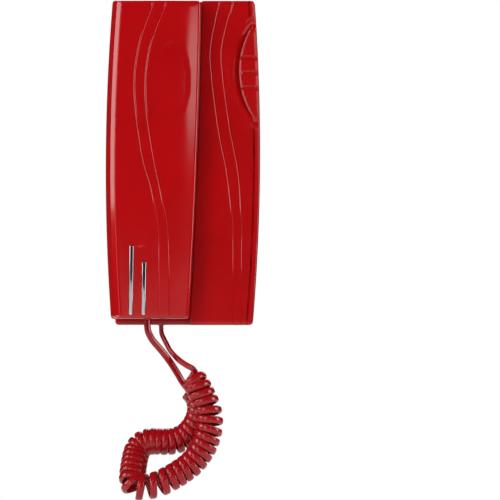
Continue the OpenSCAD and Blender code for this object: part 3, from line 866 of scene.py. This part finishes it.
    def _island_grooves(self, x: np.ndarray, z: np.ndarray) -> np.ndarray:
        """Depth of the three short grooves across the island."""
        length, width, _ = self.groove_size
        middle = self.sides.base_right(z) - self.groove_margin - length / 2
        along = np.clip(np.abs(x - middle) - (length - width) / 2, 0, None)
        inside = [width / 2 - np.hypot(along, z - middle_z) for middle_z in self._groove_heights()]
        return sum(self.groove_depth * smoothstep(*self.groove_flank, reach) for reach in inside)

    def _groove_heights(self) -> list[float]:
        """The heights of the island's three short grooves."""
        return [self.crescent_z - self.groove_lower + i * self.groove_size[2] for i in (-1, 0, 1)]

    def _rows(self) -> np.ndarray:
        """The face's rows, closer together at the island's grooves."""
        z = list(np.linspace(-self.sides.half_h + self.edge, self.sides.half_h - self.edge, self.row_count))
        fine = np.linspace(-self.groove_rows_reach, self.groove_rows_reach, self.groove_rows)
        for middle in self._groove_heights():
            z = [v for v in z if abs(v - middle) > self.groove_rows_clear] + list(middle + fine)
        return np.array(sorted(z))

    def _cover(self) -> bpy.types.Object:
        """The cover, with its openings for jacks, slider, sounder and hook."""
        inset = (3.0, 1.3, 1.22, 0.95, 0.7, 0.52, 0.4, 0.35)
        edge = Profile(inset, (0, 0.0, 0.005, 0.05, 0.17, 0.4, 1.0, 2.4))
        falling = Profile(inset, (0, 0.058, 0.066, 0.12, 0.26, 0.51, 1.06, 2.4))
        shell = Moulding(self._columns(), self._rows(), self._face, edge, falling, edge, self.rim_d,
                         self.cradle_d - self.wall, self.wall).build("base_cover_moulding", self.crease)
        back, front = self.cradle_d - self.wall - CUT, self.cradle_d + CUT
        x, z = self.sounder
        slots = [prism(rounded(x, z + i * self.sounder_pitch, *self.sounder_slot), back, front)
                 for i in range(-2, 3)]
        hook = [prism(rounded(*self.hook, *self.hook_hole), back, front)]
        foot = CUT - self.sides.half_h
        mouths = [prism(rounded(x, foot, w, self.mouth_reach, self.mouth_corner), d - t / 2, d + t / 2)
                  for x, d, w, t in self.mouths]
        carve(shell, slots + hook + mouths, self.crease)
        return shell

    def _tab(self) -> bpy.types.Object:
        """The tab that the handset hangs on, with its turned-up end."""
        w, t, out = self.tab_size
        x = (self.sides.handset_x0 + self.sides.handset_x1) / 2
        end = self.cradle_d + out
        stem = pillow(x, self.tab_z, w, t, self.tab_corner,
                      [(self.cradle_d - 0.5, 0), (end - 0.4, 0), (end, 0.4)])
        lip = pillow(x, self.tab_z + self.lip_rise, w - 2 * HAIR, t / 2 + 1, self.tab_corner,
                     [(end - 2, 0.3), (end - 1.7, 0), (end - 0.35, 0), (end - HAIR, 0.35)])
        return solid("handset_hanging_tab", *merged([stem, lip]))


# Handset ------------------------------------------------------------------------------------------


@dataclass
class Handset:
    """The handset: its front and rear shells, chrome bars and keys."""

    sides: Sides
    paint: Paintbox
    joint_d: float = 34.0
    wall: float = 2.0
    edge: float = 3.0
    crease: float = 34.0
    face_thickness: float = 5.0
    crown: float = 1.35
    crown_power: float = 3.2
    bow: float = 0.7
    bow_reach: float = 97.0
    waves: tuple = (
        ((36, 115), (30.3, 100), (21.2, 74), (17.8, 45), (22.4, 6), (28.2, -16), (31.8, -40), (32.5, -60),
         (32.6, -91.8), (32.6, -105.8)),
        ((45, 115), (38.3, 100), (27.6, 72), (24.5, 42), (29, 6), (33.5, -16), (37.6, -41), (38.7, -66),
         (39, -83.8), (39, -100.8)))
    oval: tuple[float, float, float, float] = (-7.0, 50.0, 10.5, 24.0)
    oval_depth: float = 0.15
    oval_blend: tuple[float, float] = (-0.02, 0.06)
    trim_x: tuple[float, float] = (-32.05, -24.3)
    trim_length: tuple[float, float] = (42.6, 32.6)
    trim_foot: float = -93.0
    trim_w: float = 2.2
    trim_lean: float = math.radians(0.8)
    trim_proud: float = 0.3
    trim_slot: float = 1.0
    trim_slot_gap: float = 0.16
    trim_slot_room: float = 0.3
    trim_root: float = 0.4
    trim_dome: tuple = ((0.3, 0.0), (0.16, 0.04), (0.06, 0.13), (0.02, 0.25), (0.0, 0.42))
    trim_crease: float = 50.0
    row_count: int = 110
    key_pitch: float = 13.0
    key_size: tuple[float, float] = (10.6, 7.8)
    key_gap: float = 0.25
    keypad_z: float = -2.0
    receiver_z: float = 61.5
    microphone_z: float = -69.8
    hole_r: float = 1.0
    ear_rings: tuple[tuple[int, float], ...] = ((6, 4.0), (12, 8.0))
    post_z: tuple[float, float] = (38.0, -56.0)
    post_size: float = 5.4
    post_depth: float = 1.6
    tab_slot: tuple[float, float, float, float] = (87.0, 12.0, 7.4, 0.8)
    cord_x: float = -22.2
    cord_hole: tuple[float, float, float] = (7.9, 5.5, 0.3)
    cord_hole_d: tuple[float, float] = (26.05, 32.95)

    def build(self) -> None:
        """Makes and dresses the handset's pieces."""
        self.paint.dress(self._front(), Slot.RED, Body.HANDSET, ["handset_outer_shell"])
        self.paint.dress(self._rear(), Slot.RED, Body.HANDSET, ["handset_inner_shell"])
        front = self.sides.handset_front
        for i, name in enumerate(("trim_bar_long", "trim_bar_short")):
            shape = self._bar(i, 0.0, front - self.trim_slot - self.trim_root, front + self.trim_proud, True)
            bar = solid(f"{name}_polished", *shape, self.trim_crease)
            self.paint.dress(bar, Slot.CHROME, Body.HANDSET, [name])
        Keypad(self).build()

    @property
    def middle(self) -> float:
        """Middle of the handset, across."""
        return (self.sides.handset_x0 + self.sides.handset_x1) / 2

    def _wave_lines(self) -> list[Curve]:
        """The handset's two wave grooves."""
        return [knot_curve(k, self.sides.handset_x0, 1) for k in self.waves]

    def _face(self, x: np.ndarray, z: np.ndarray) -> np.ndarray:
        """Depth of the handset's front.

        Args:
            x: Across.
            z: Up.

        Returns:
            How far out from the wall it is.
        """
        s = self.sides
        lo, hi = s.handset_left(z), s.handset_right(z)
        across = 2 * (x - lo) / (hi - lo) - 1
        depth = s.handset_front - HAIR - self.crown * np.abs(across) ** self.crown_power - self._bowed(z)
        for wave in self._wave_lines():
            depth = depth - s.groove(x - wave(z), z)
        ox, oz, rx, rz = self.oval
        inside = 1 - np.hypot((x - ox) / rx, (z - oz) / rz)
        return depth - self.oval_depth * smoothstep(*self.oval_blend, inside)

    def _bowed(self, z: np.ndarray) -> np.ndarray:
        """How far the front's long bow has fallen back at a height."""
        return self.bow * ((z - self.sides.handset_belly_z) / self.bow_reach) ** 2

    def _front(self) -> bpy.types.Object:
        """The front shell, with the slots for the chrome bars."""
        s = self.sides
        left = Profile((6.0, 5.65, 5.35, 3.2, 2.95, 2.8, 2.65, 1.3, 0.0),
                       (0, 0.12, 0.36, 2.17, 2.45, 2.8, 3.4, 7.0, 10.9))
        right = Profile((self.edge, 2.2, 1.5, 1.1, 0.8, 0.6, 0.5, 0.25, 0.0),
                        (0, 0.06, 0.2, 0.4, 0.75, 1.2, 1.8, 6, 10.6))
        first, last = moved(s.handset_left, left.inset[0]), moved(s.handset_right, -right.inset[0])
        wave_a, wave_b = self._wave_lines()
        columns = (spread(first, wave_a, [0, 0.1, 0.25, 0.4, 0.6, 0.8]) + beside(wave_a, GROOVE_LINES)
                   + spread(wave_a, wave_b, [0.25, 0.5, 0.75]) + beside(wave_b, GROOVE_LINES)
                   + spread(wave_b, last, [0.08, *np.linspace(0.15, 1, 18)]))
        rows = np.linspace(s.handset_lo + self.edge, s.handset_hi - self.edge, self.row_count)
        moulding = Moulding(columns, rows, self._face, left, right, right, self.joint_d + HAIR,
                            s.handset_front - self.face_thickness, self.wall)
        shell = moulding.build("handset_front_moulding", self.crease)
        floor_d = s.handset_front - self.trim_slot - self.trim_root - self.trim_slot_room
        slots = [self._bar(i, self.trim_slot_gap, floor_d, s.handset_front + CUT, False) for i in (0, 1)]
        carve(shell, slots, self.crease)
        return shell

    def _rear(self) -> bpy.types.Object:
        """The rear shell, with its ear holes, mouthpiece hole, key openings and tab slot."""
        s = self.sides
        edge = Profile((self.edge, 2.4, 1.8, 1.35, 1.0, 0.8, 0.4, 0.35, 0.35),
                       (0, 0.1, 0.4, 0.85, 1.4, 2.0, 8, 14.9, 15.1))
        columns = spread(moved(s.handset_left, self.edge), moved(s.handset_right, -self.edge),
                         np.linspace(0, 1, 22))
        rows = np.linspace(s.handset_lo + self.edge, s.handset_hi - self.edge, 60)
        moulding = Moulding(columns, rows, lambda x, z: np.full_like(x, s.handset_rear), edge, edge, edge,
                            self.joint_d - HAIR, s.handset_rear + self.wall, self.wall, out=-1)
        shell = moulding.build("handset_rear_moulding", self.crease)
        carve(shell, self._rear_openings(), self.crease)
        return shell

    def _rear_openings(self) -> list[Shape]:
        """The solids that cut the rear shell's openings."""
        s, r = self.sides, self.hole_r
        d0, d1 = s.handset_rear - CUT, s.handset_rear + self.wall + CUT
        holes = [(self.middle, self.receiver_z), (self.middle, self.microphone_z)]
        for count, ring_r in self.ear_rings:
            turns = [2 * math.pi * i / count for i in range(count)]
            holes += [(self.middle + ring_r * math.cos(a), self.receiver_z + ring_r * math.sin(a))
                      for a in turns]
        cuts = [prism(rounded(x, z, 2 * r, 2 * r, r * 0.999, 5), d0, d1) for x, z in holes]
        post = self.post_size
        cuts += [prism(rounded(self.middle, z, post, post, post / 2 - 0.01, 8), d0,
                       s.handset_rear + self.post_depth) for z in self.post_z]
        w, h = (size + 2 * self.key_gap for size in self.key_size)
        cuts += [prism(rounded(x, z, w, h, 1.0), d0, d1) for x, z in map(self.key_place, range(15))]
        cuts.append(prism(rounded(self.middle, *self.tab_slot), d0, d1))
        cuts.append(prism(rounded(self.cord_x, s.handset_lo + CUT, *self.cord_hole), *self.cord_hole_d))
        return cuts

    def key_place(self, i: int) -> tuple[float, float]:
        """Middle of a key; the keypad is read from behind, so its first column is on the right."""
        return self.middle + (1 - i % 3) * self.key_pitch, self.keypad_z + (2 - i // 3) * self.key_pitch

    def _bar(self, i: int, grow: float, d0: float, d1: float, domed: bool) -> Shape:
        """A chrome bar, or the slot that it sits in.

        Args:
            i: 0 for the long bar, 1 for the short one.
            grow: How much wider each side is.
            d0: Depth of its back.
            d1: Depth of its front.
            domed: Whether its front is rounded.

        Returns:
            Points and faces.
        """
        w, h = self.trim_w + 2 * grow, self.trim_length[i] + 2 * grow
        drops = self.trim_dome if domed else ((0.0, 0.0),)
        layers = [(d0, 0.0)] + [(d1 - drop, inset) for drop, inset in drops]
        middle = self.trim_length[i] / 2
        verts, faces = loft([ring(rounded(0, middle, w - 2 * n, h - 2 * n, w / 2 - n - 0.001, 8), d)
                             for d, n in layers])
        c, s = math.cos(self.trim_lean), math.sin(self.trim_lean)
        x, z = verts[:, 0].copy(), verts[:, 2].copy()
        verts[:, 0], verts[:, 2] = self.trim_x[i] + c * x + s * z, self.trim_foot - s * x + c * z
        if domed:
            verts[:, 1] -= self._bowed(verts[:, 2])
        return verts, faces


@dataclass
class Keypad:
    """The fifteen keys on the handset's inner side."""

    handset: Handset
    proud: float = 0.9
    mark_size: float = 5.0
    mark_proud: float = 0.07
    dash_length: float = 2.2
    dash_growth: float = 1.2
    dash_height: float = 0.7
    dash_corner: float = 0.3
    names: tuple[str, ...] = ("key_1", "key_2", "key_3", "key_4", "key_5", "key_6", "key_7", "key_8", "key_9",
                              "key_star", "key_0", "key_hash", "key_flash", "key_mute", "key_redial")
    marks: str = "123456789*0#"

    def build(self) -> None:
        """Makes and dresses the keys."""
        paint = self.handset.paint
        for i, name in enumerate(self.names):
            key = self._key(i, name)
            paint.dress(key, Slot.KEY, name, [name])
            key.data.materials.append(paint.materials[Slot.BLACK])

    def _key(self, i: int, name: str) -> bpy.types.Object:
        """One key: a dished cap, its flange, its stem and its moulded digit or bar."""
        x, z = self.handset.key_place(i)
        w, h = self.handset.key_size
        rear = self.handset.sides.handset_rear
        top = rear - self.proud
        cap = pillow(x, z, w, h, 1.2, [(rear + 2.0, 0), (top + 0.5, 0), (top + 0.2, 0.12), (top + 0.04, 0.4),
                                       (top, 0.8), (top + 0.08, 1.6), (top + 0.12, 2.6)])
        flange = pillow(x, z, w + 1.4, h + 1.4, 1.0, [(rear + 2.0, 0), (rear + 2.75, 0), (rear + 2.8, 0.1)])
        stem = prism(rounded(x, z, 3.6, 3.6, 1.79), rear + 2.75, rear + 3.5)
        key = solid(f"{name}_cap", *merged([cap, flange, stem]))
        faces = len(key.data.polygons)
        self._add_mark(key, i, x, z, top + 0.12)
        for face in key.data.polygons[faces:]:
            face.material_index = 1
        return key

    def _add_mark(self, key: bpy.types.Object, i: int, x: float, z: float, d: float) -> None:
        """Adds a digit, or a plain bar on a function key, that stands on the cap."""
        if i >= len(self.marks):
            length = self.dash_length + self.dash_growth * (i - len(self.marks))
            verts, faces = pillow(x, z, length, self.dash_height, self.dash_corner,
                                  [(d + 0.05, 0), (d - self.mark_proud, 0.02)])
        else:
            verts, faces = self._digit(self.marks[i], x, z, d)
        bm = bmesh.new()
        bm.from_mesh(key.data)
        made = [bm.verts.new((v[0] * MM, -v[1] * MM, v[2] * MM)) for v in verts]
        for f in faces:
            try:
                bm.faces.new([made[k] for k in f])
            except ValueError:
                continue
        bm.to_mesh(key.data)
        bm.free()

    def _digit(self, mark: str, x: float, z: float, d: float) -> Shape:
        """A digit's solid, read from behind the handset."""
        curve = bpy.data.curves.new("mark", "FONT")
        curve.body, curve.size, curve.extrude = mark, self.mark_size, self.mark_proud
        curve.align_x, curve.align_y, curve.resolution_u = "CENTER", "CENTER", 4
        obj = bpy.data.objects.new("mark", curve)
        bpy.context.scene.collection.objects.link(obj)
        bpy.context.view_layer.update()
        mesh = bpy.data.meshes.new_from_object(obj.evaluated_get(bpy.context.evaluated_depsgraph_get()))
        pts = np.array([v.co for v in mesh.vertices])
        faces = [list(p.vertices) for p in mesh.polygons]
        bpy.data.objects.remove(obj)
        return np.c_[x - pts[:, 0], d - pts[:, 2], z + pts[:, 1]], faces


# Cord ---------------------------------------------------------------------------------------------


@dataclass
class CurlyCord:
    """The curly cord from the base to the handset: a straight lead at each end, and the coil between."""

    paint: Paintbox
    handset_lead: tuple = (
        (-0.0222, -0.0295, -0.0962), (-0.0222, -0.0295, -0.1), (-0.0215, -0.029, -0.104),
        (-0.0188, -0.0265, -0.109), (-0.0138, -0.023, -0.115), (-0.0096, -0.0195, -0.1206),
        (-0.0062, -0.016, -0.1258), (-0.0032, -0.013, -0.1308), (-0.001, -0.0114, -0.135),
        (0.0016, -0.011, -0.1376))
    base_lead: tuple = (
        (-0.0141, -0.0074, -0.1002), (-0.0141, -0.0074, -0.1024), (-0.0138, -0.0082, -0.105),
        (-0.0124, -0.01, -0.1082), (-0.0106, -0.0123, -0.1115), (-0.0083, -0.0152, -0.1156),
        (-0.0037, -0.0195, -0.1204), (0.0014, -0.0225, -0.124), (0.0065, -0.025, -0.1268),
        (0.0096, -0.028, -0.128))
    coil_line: tuple = (
        (0.0034, -0.028, -0.131), (0.0066, -0.0284, -0.1339), (0.0092, -0.029, -0.138),
        (0.0115, -0.029, -0.1426), (0.014, -0.029, -0.148), (0.0157, -0.029, -0.155),
        (0.0159, -0.029, -0.162), (0.014, -0.029, -0.17), (0.0106, -0.029, -0.177), (0.005, -0.029, -0.1842),
        (-0.0018, -0.029, -0.1894), (-0.0088, -0.029, -0.1936), (-0.015, -0.029, -0.1966),
        (-0.0214, -0.0288, -0.1982), (-0.027, -0.028, -0.1988), (-0.0306, -0.0264, -0.1972),
        (-0.0316, -0.024, -0.1936), (-0.0312, -0.0208, -0.1892), (-0.0306, -0.0174, -0.1848),
        (-0.0298, -0.0142, -0.1804), (-0.0282, -0.0118, -0.176), (-0.0246, -0.011, -0.1726),
        (-0.0194, -0.011, -0.1714), (-0.0126, -0.011, -0.1716), (-0.0052, -0.011, -0.171),
        (0.0016, -0.011, -0.1678), (0.0064, -0.011, -0.1624), (0.0094, -0.011, -0.156),
        (0.01, -0.011, -0.1494), (0.0082, -0.011, -0.1434), (0.0052, -0.011, -0.1396),
        (0.0016, -0.011, -0.1376))
    turn_radius: float = 0.0071
    width: float = 0.0045
    thickness: float = 0.0024
    pitch_at: tuple = ((0.0, 0.0046), (0.016, 0.0048), (0.021, 0.0061), (0.036, 0.0058), (0.044, 0.0047),
                       (0.074, 0.0047), (0.081, 0.0072), (0.094, 0.0072), (0.1, 0.0044), (0.116, 0.0042),
                       (0.121, 0.0034), (0.137, 0.0034), (0.144, 0.0044), (0.2, 0.0044))
    steps_per_turn: int = 18
    sides: int = 12
    release: float = 0.8
    lead_step: float = 0.0012
    line_step: float = 0.0004
    lead_trim: int = 3
    squareness: float = 0.8
    coil_ends: tuple[int, int] = (3, 2)
    ease_reach: int = 9
    ease_rounds: int = 4
    ease_window: float = 1.4
    blend_reach: float = 0.0198
    blend_way: tuple[float, float, float] = (-0.5, -0.6, 0.62)

    def build(self) -> None:
        path, across = self._path()
        tube = self._tube(path, across)
        self.paint.dress(tube, Slot.CORD, None, ["cord_handset_lead", "cord_base_lead", "cord_coil"])
        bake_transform(tube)

    @staticmethod
    def _smooth(points: np.ndarray, spacing: float) -> np.ndarray:
        """A smooth line through points, with points evenly spaced along it."""
        p = np.vstack([2 * points[0] - points[1], points, 2 * points[-1] - points[-2]])
        line = [spline_point(*four, t) for four in zip(p, p[1:], p[2:], p[3:])
                for t in np.linspace(0, 1, 10, endpoint=False)]
        line = np.vstack([line, points[-1]])
        run = np.r_[0, np.cumsum(np.linalg.norm(np.diff(line, axis=0), axis=1))]
        even = np.linspace(0, run[-1], max(2, int(round(run[-1] / spacing)) + 1))
        return np.c_[tuple(np.interp(even, run, line[:, i]) for i in range(3))]

    def _path(self) -> tuple[np.ndarray, np.ndarray]:
        """The cord's middle line from the base to the handset.

        Returns:
            Its points, and the direction of its flat side at each.
        """
        axis = self._smooth(np.array(self.coil_line), self.line_step)
        run = np.r_[0, np.cumsum(np.linalg.norm(np.diff(axis, axis=0), axis=1))]
        ahead = np.gradient(axis, axis=0)
        ahead /= np.linalg.norm(ahead, axis=1)[:, None]
        side = np.zeros_like(axis)
        side[0] = np.array(self.base_lead[-1]) - axis[0]
        for i in range(len(axis)):
            v = side[max(i - 1, 0)]
            v = v - (v @ ahead[i]) * ahead[i]
            side[i] = v / np.linalg.norm(v)
        other = np.cross(ahead, side)
        s_knots, pitches = zip(*self.pitch_at)
        turns = np.r_[0, np.cumsum(np.diff(run) / np.interp((run[1:] + run[:-1]) / 2, s_knots, pitches))]
        count = int(turns[-1] * self.steps_per_turn)
        even = np.linspace(0, turns[-1], count)
        centre, heading, u, v = (np.c_[tuple(np.interp(even, turns, line[:, i]) for i in range(3))]
                                 for line in (axis, ahead, side, other))
        radius = self.turn_radius * smoothstep(0, self.release, turns[-1] - even)
        angle = -2 * math.pi * even
        helix = centre + radius[:, None] * (np.cos(angle)[:, None] * u + np.sin(angle)[:, None] * v)
        LOG.info("coil: %.1f turns", turns[-1])

        first, last = self.coil_ends
        into_coil = np.vstack([np.array(self.base_lead)[:-1], helix[first:first + 2]])
        lead_in = self._smooth(into_coil, self.lead_step)[:-self.lead_trim]
        lead_out = self._smooth(np.array(self.handset_lead)[::-1], self.lead_step)[self.lead_trim:]
        path = np.vstack([lead_in, helix[first:-last], lead_out])
        across = np.vstack([np.zeros_like(lead_in), heading[first:-last], np.zeros_like(lead_out)])
        # Each lead turns into the coil within a few points, and easing them rounds that turn.
        for joint in (len(lead_in), len(path) - len(lead_out)):
            a, b = joint - self.ease_reach, joint + self.ease_reach
            ease = np.cos(np.linspace(-self.ease_window, self.ease_window, b - a))[:, None] ** 2 / 2
            for _ in range(self.ease_rounds):
                path[a:b] += ease * ((path[a - 1:b - 1] + path[a + 1:b + 1]) / 2 - path[a:b])
        return path, across

    def _tube(self, path: np.ndarray, across: np.ndarray) -> bpy.types.Object:
        """The cord's flat-sided tube round its middle line."""
        way = np.gradient(path, axis=0)
        way /= np.linalg.norm(way, axis=1)[:, None]
        flat = across.copy()
        coil = len(path) // 2
        order = list(range(coil, len(path))) + list(range(coil, -1, -1))
        for n, i in enumerate(order):
            guess = across[i]
            near = flat[i - 1] if 0 < n < len(path) - coil else flat[min(i + 1, len(path) - 1)]
            loose = np.linalg.norm(np.cross(guess, way[i])) < 0.5
            v = near if loose and n else guess
            v = v - (v @ way[i]) * way[i]
            flat[i] = v / max(np.linalg.norm(v), 1e-9)
        thin = np.cross(way, flat)
        a = np.linspace(0, 2 * math.pi, self.sides, endpoint=False)
        w, t = (np.sign(v) * np.abs(v) ** self.squareness * size / 2
                for v, size in ((np.cos(a), self.width), (np.sin(a), self.thickness)))
        rings = [p + np.outer(w, f) + np.outer(t, n) for p, f, n in zip(path, flat, thin)]
        verts, faces = loft(rings)
        verts = verts / MM
        verts[:, 1] *= -1
        return solid("curly_cord", verts, faces, 60.0)


# Works and the rest of the frame --------------------------------------------------------------------


@dataclass
class Works:
    """The frame's own pieces that keep their shape: back plate, boards, jacks, switches, screws."""

    paint: Paintbox
    finishes: dict[Slot, tuple[str, ...]] = field(default_factory=lambda: {
        Slot.DARK: ("back_plate",),
        Slot.STEEL: ("base_screws", "sounder_magnet", "hook_spring", "ballast_weight", "handset_screws"),
        Slot.BOARD: ("base_board", "handset_board"),
        Slot.BLACK: ("ringer_chip", "rectifier", "ringer_sounder", "base_jack", "line_jack", "hook_switch",
                     "slider_switch", "volume_slider", "receiver", "dialler_chip", "handset_jack"),
        Slot.SLEEVE: ("line_capacitor",),
        Slot.RUBBER: ("receiver_gasket", "microphone_boot", "keypad_membrane"),
        Slot.CHROME: ("microphone",),
        Slot.KEY: ("hook_plunger",),
        Slot.CLEAR: ("handset_plug", "base_plug"),
    })

    def build(self) -> None:
        """Dresses the frame's pieces."""
        for slot, names in self.finishes.items():
            for name in names:
                self.paint.dress_node(name, slot)


# Studio -------------------------------------------------------------------------------------------


@dataclass
class Studio:
    """The camera, the pale floor and the soft lights."""

    centre: tuple[float, float] = (0.0407, -0.0534)
    view_width: float = 0.3095
    distance: float = 3.0
    sensor: float = 36.0
    floor_z: float = -0.24
    floor_size: float = 1.2

    def build(self) -> None:
        """Sets up the whole studio."""
        bpy.context.scene.view_settings.view_transform = "Standard"
        self._camera()
        self._floor()
        self._world()
        self._lights()

    def _camera(self) -> None:
        """The camera, square in front of the phone."""
        data = bpy.data.cameras.new("camera")
        data.sensor_width = self.sensor
        data.lens = self.sensor * self.distance / self.view_width
        data.clip_end = 20
        camera = bpy.data.objects.new("camera", data)
        camera.location = (self.centre[0], -self.distance, self.centre[1])
        camera.rotation_euler = (math.pi / 2, 0, 0)
        bpy.context.scene.collection.objects.link(camera)
        bpy.context.scene.camera = camera

    def _floor(self) -> None:
        """The plain pale floor."""
        half = self.floor_size / 2
        mesh = bpy.data.meshes.new("floor")
        corners = [(-half, -half, 0), (half, -half, 0), (half, half, 0), (-half, half, 0)]
        mesh.from_pydata(corners, [], [(0, 1, 2, 3)])
        floor = bpy.data.objects.new("floor", mesh)
        floor.location = (0, 0, self.floor_z)
        bpy.context.scene.collection.objects.link(floor)
        made = bpy.data.materials.new("pale_floor")
        made.use_nodes = True
        t = NodeTree(made.node_tree)
        grain = t.noise(t.add("ShaderNodeTexCoord").outputs["Object"], 120.0, 3.0)
        colour = t.mix(grain, (0.83, 0.83, 0.83, 1), (0.8, 0.8, 0.8, 1))
        shader = t.add("ShaderNodeBsdfPrincipled", {"Base Color": colour, "Roughness": 0.7})
        t.add("ShaderNodeOutputMaterial", {"Surface": shader.outputs[0]})
        mesh.materials.append(made)

    def _world(self) -> None:
        """A white surround to look at, and a softer one, darker above, to light and reflect."""
        world = bpy.data.worlds.new("studio")
        bpy.context.scene.world = world
        world.use_nodes = True
        t = NodeTree(world.node_tree)
        way = t.add("ShaderNodeTexCoord").outputs["Generated"]
        across, _, up = t.add("ShaderNodeSeparateXYZ", {0: way}).outputs
        ray = t.add("ShaderNodeLightPath")
        band = t.math("MULTIPLY", t.ramp(up, -0.034, -0.024, 1.0, 0.0), t.ramp(up, -0.5, -0.3))
        band = t.math("MULTIPLY", band, t.ramp(t.math("ABSOLUTE", across), 0.22, 0.36, 1.0, 0.0))
        mirrored = t.mix(band, (0.02, 0.02, 0.02, 1), (0.55, 0.55, 0.55, 1))
        soft = t.mix(ray.outputs["Is Glossy Ray"], (0.4, 0.4, 0.4, 1), mirrored)
        colour = t.mix(ray.outputs["Is Camera Ray"], soft, (1, 1, 1, 1))
        background = t.add("ShaderNodeBackground", {"Color": colour})
        t.add("ShaderNodeOutputWorld", {"Surface": background.outputs[0]})

    def _light(self, name: str, place: tuple[float, float, float], aim: tuple[float, float, float],
               size: tuple[float, float], power: float, shape: str = "RECTANGLE",
               mirrored: bool = True) -> None:
        """One soft light.

        Args:
            name: Its name.
            place: Where it stands.
            aim: The point it faces.
            size: Its width and height.
            power: Its power in watts.
            shape: RECTANGLE or ELLIPSE.
            mirrored: Whether glossy surfaces show it.
        """
        data = bpy.data.lights.new(name, "AREA")
        data.shape, data.size, data.size_y, data.energy = shape, *size, power
        light = bpy.data.objects.new(name, data)
        light.location = place
        light.rotation_euler = (Vector(aim) - Vector(place)).to_track_quat("-Z", "Y").to_euler()
        light.visible_camera = False
        light.visible_glossy = mirrored
        bpy.context.scene.collection.objects.link(light)

    def _lights(self) -> None:
        """The soft boxes: a key above in front, one each side, and a fill behind."""
        self._light("left_key", (-0.8, -1.9, 1.15), (0, 0, 0), (1.0, 1.0), 17, mirrored=False)
        self._light("right_key", (1.35, -1.5, 0.8), (0, 0, 0), (0.9, 0.9), 5, mirrored=False)
        self._light("left_card", (-0.95, -1.3, 0.0), (0, 0, 0), (0.5, 1.6), 7.0)
        self._light("right_box", (0.72, -2.9, 0.2), (0, 0, 0.05), (0.7, 0.26), 1.4, "ELLIPSE")
        self._light("left_strip", (-1.0, -0.18, 0.28), (0, 0, 0.28), (0.5, 0.64), 4.6)
        self._light("right_strip", (1.0, -0.2, 0.12), (0, 0, 0.12), (0.5, 0.56), 4.4)
        self._light("back_fill", (0.4, 1.8, 0.9), (0, 0, 0), (1.4, 1.2), 14)


def main() -> None:
    """Builds the studio, then the phone."""
    logging.basicConfig(level=logging.INFO, format="%(name)s %(message)s")
    Studio().build()
    paint = Paintbox()
    CurlyCord(paint).build()
    sides = Sides()
    Base(sides, paint).build()
    Handset(sides, paint).build()
    Works(paint).build()


if __name__ == "__main__":
    main()
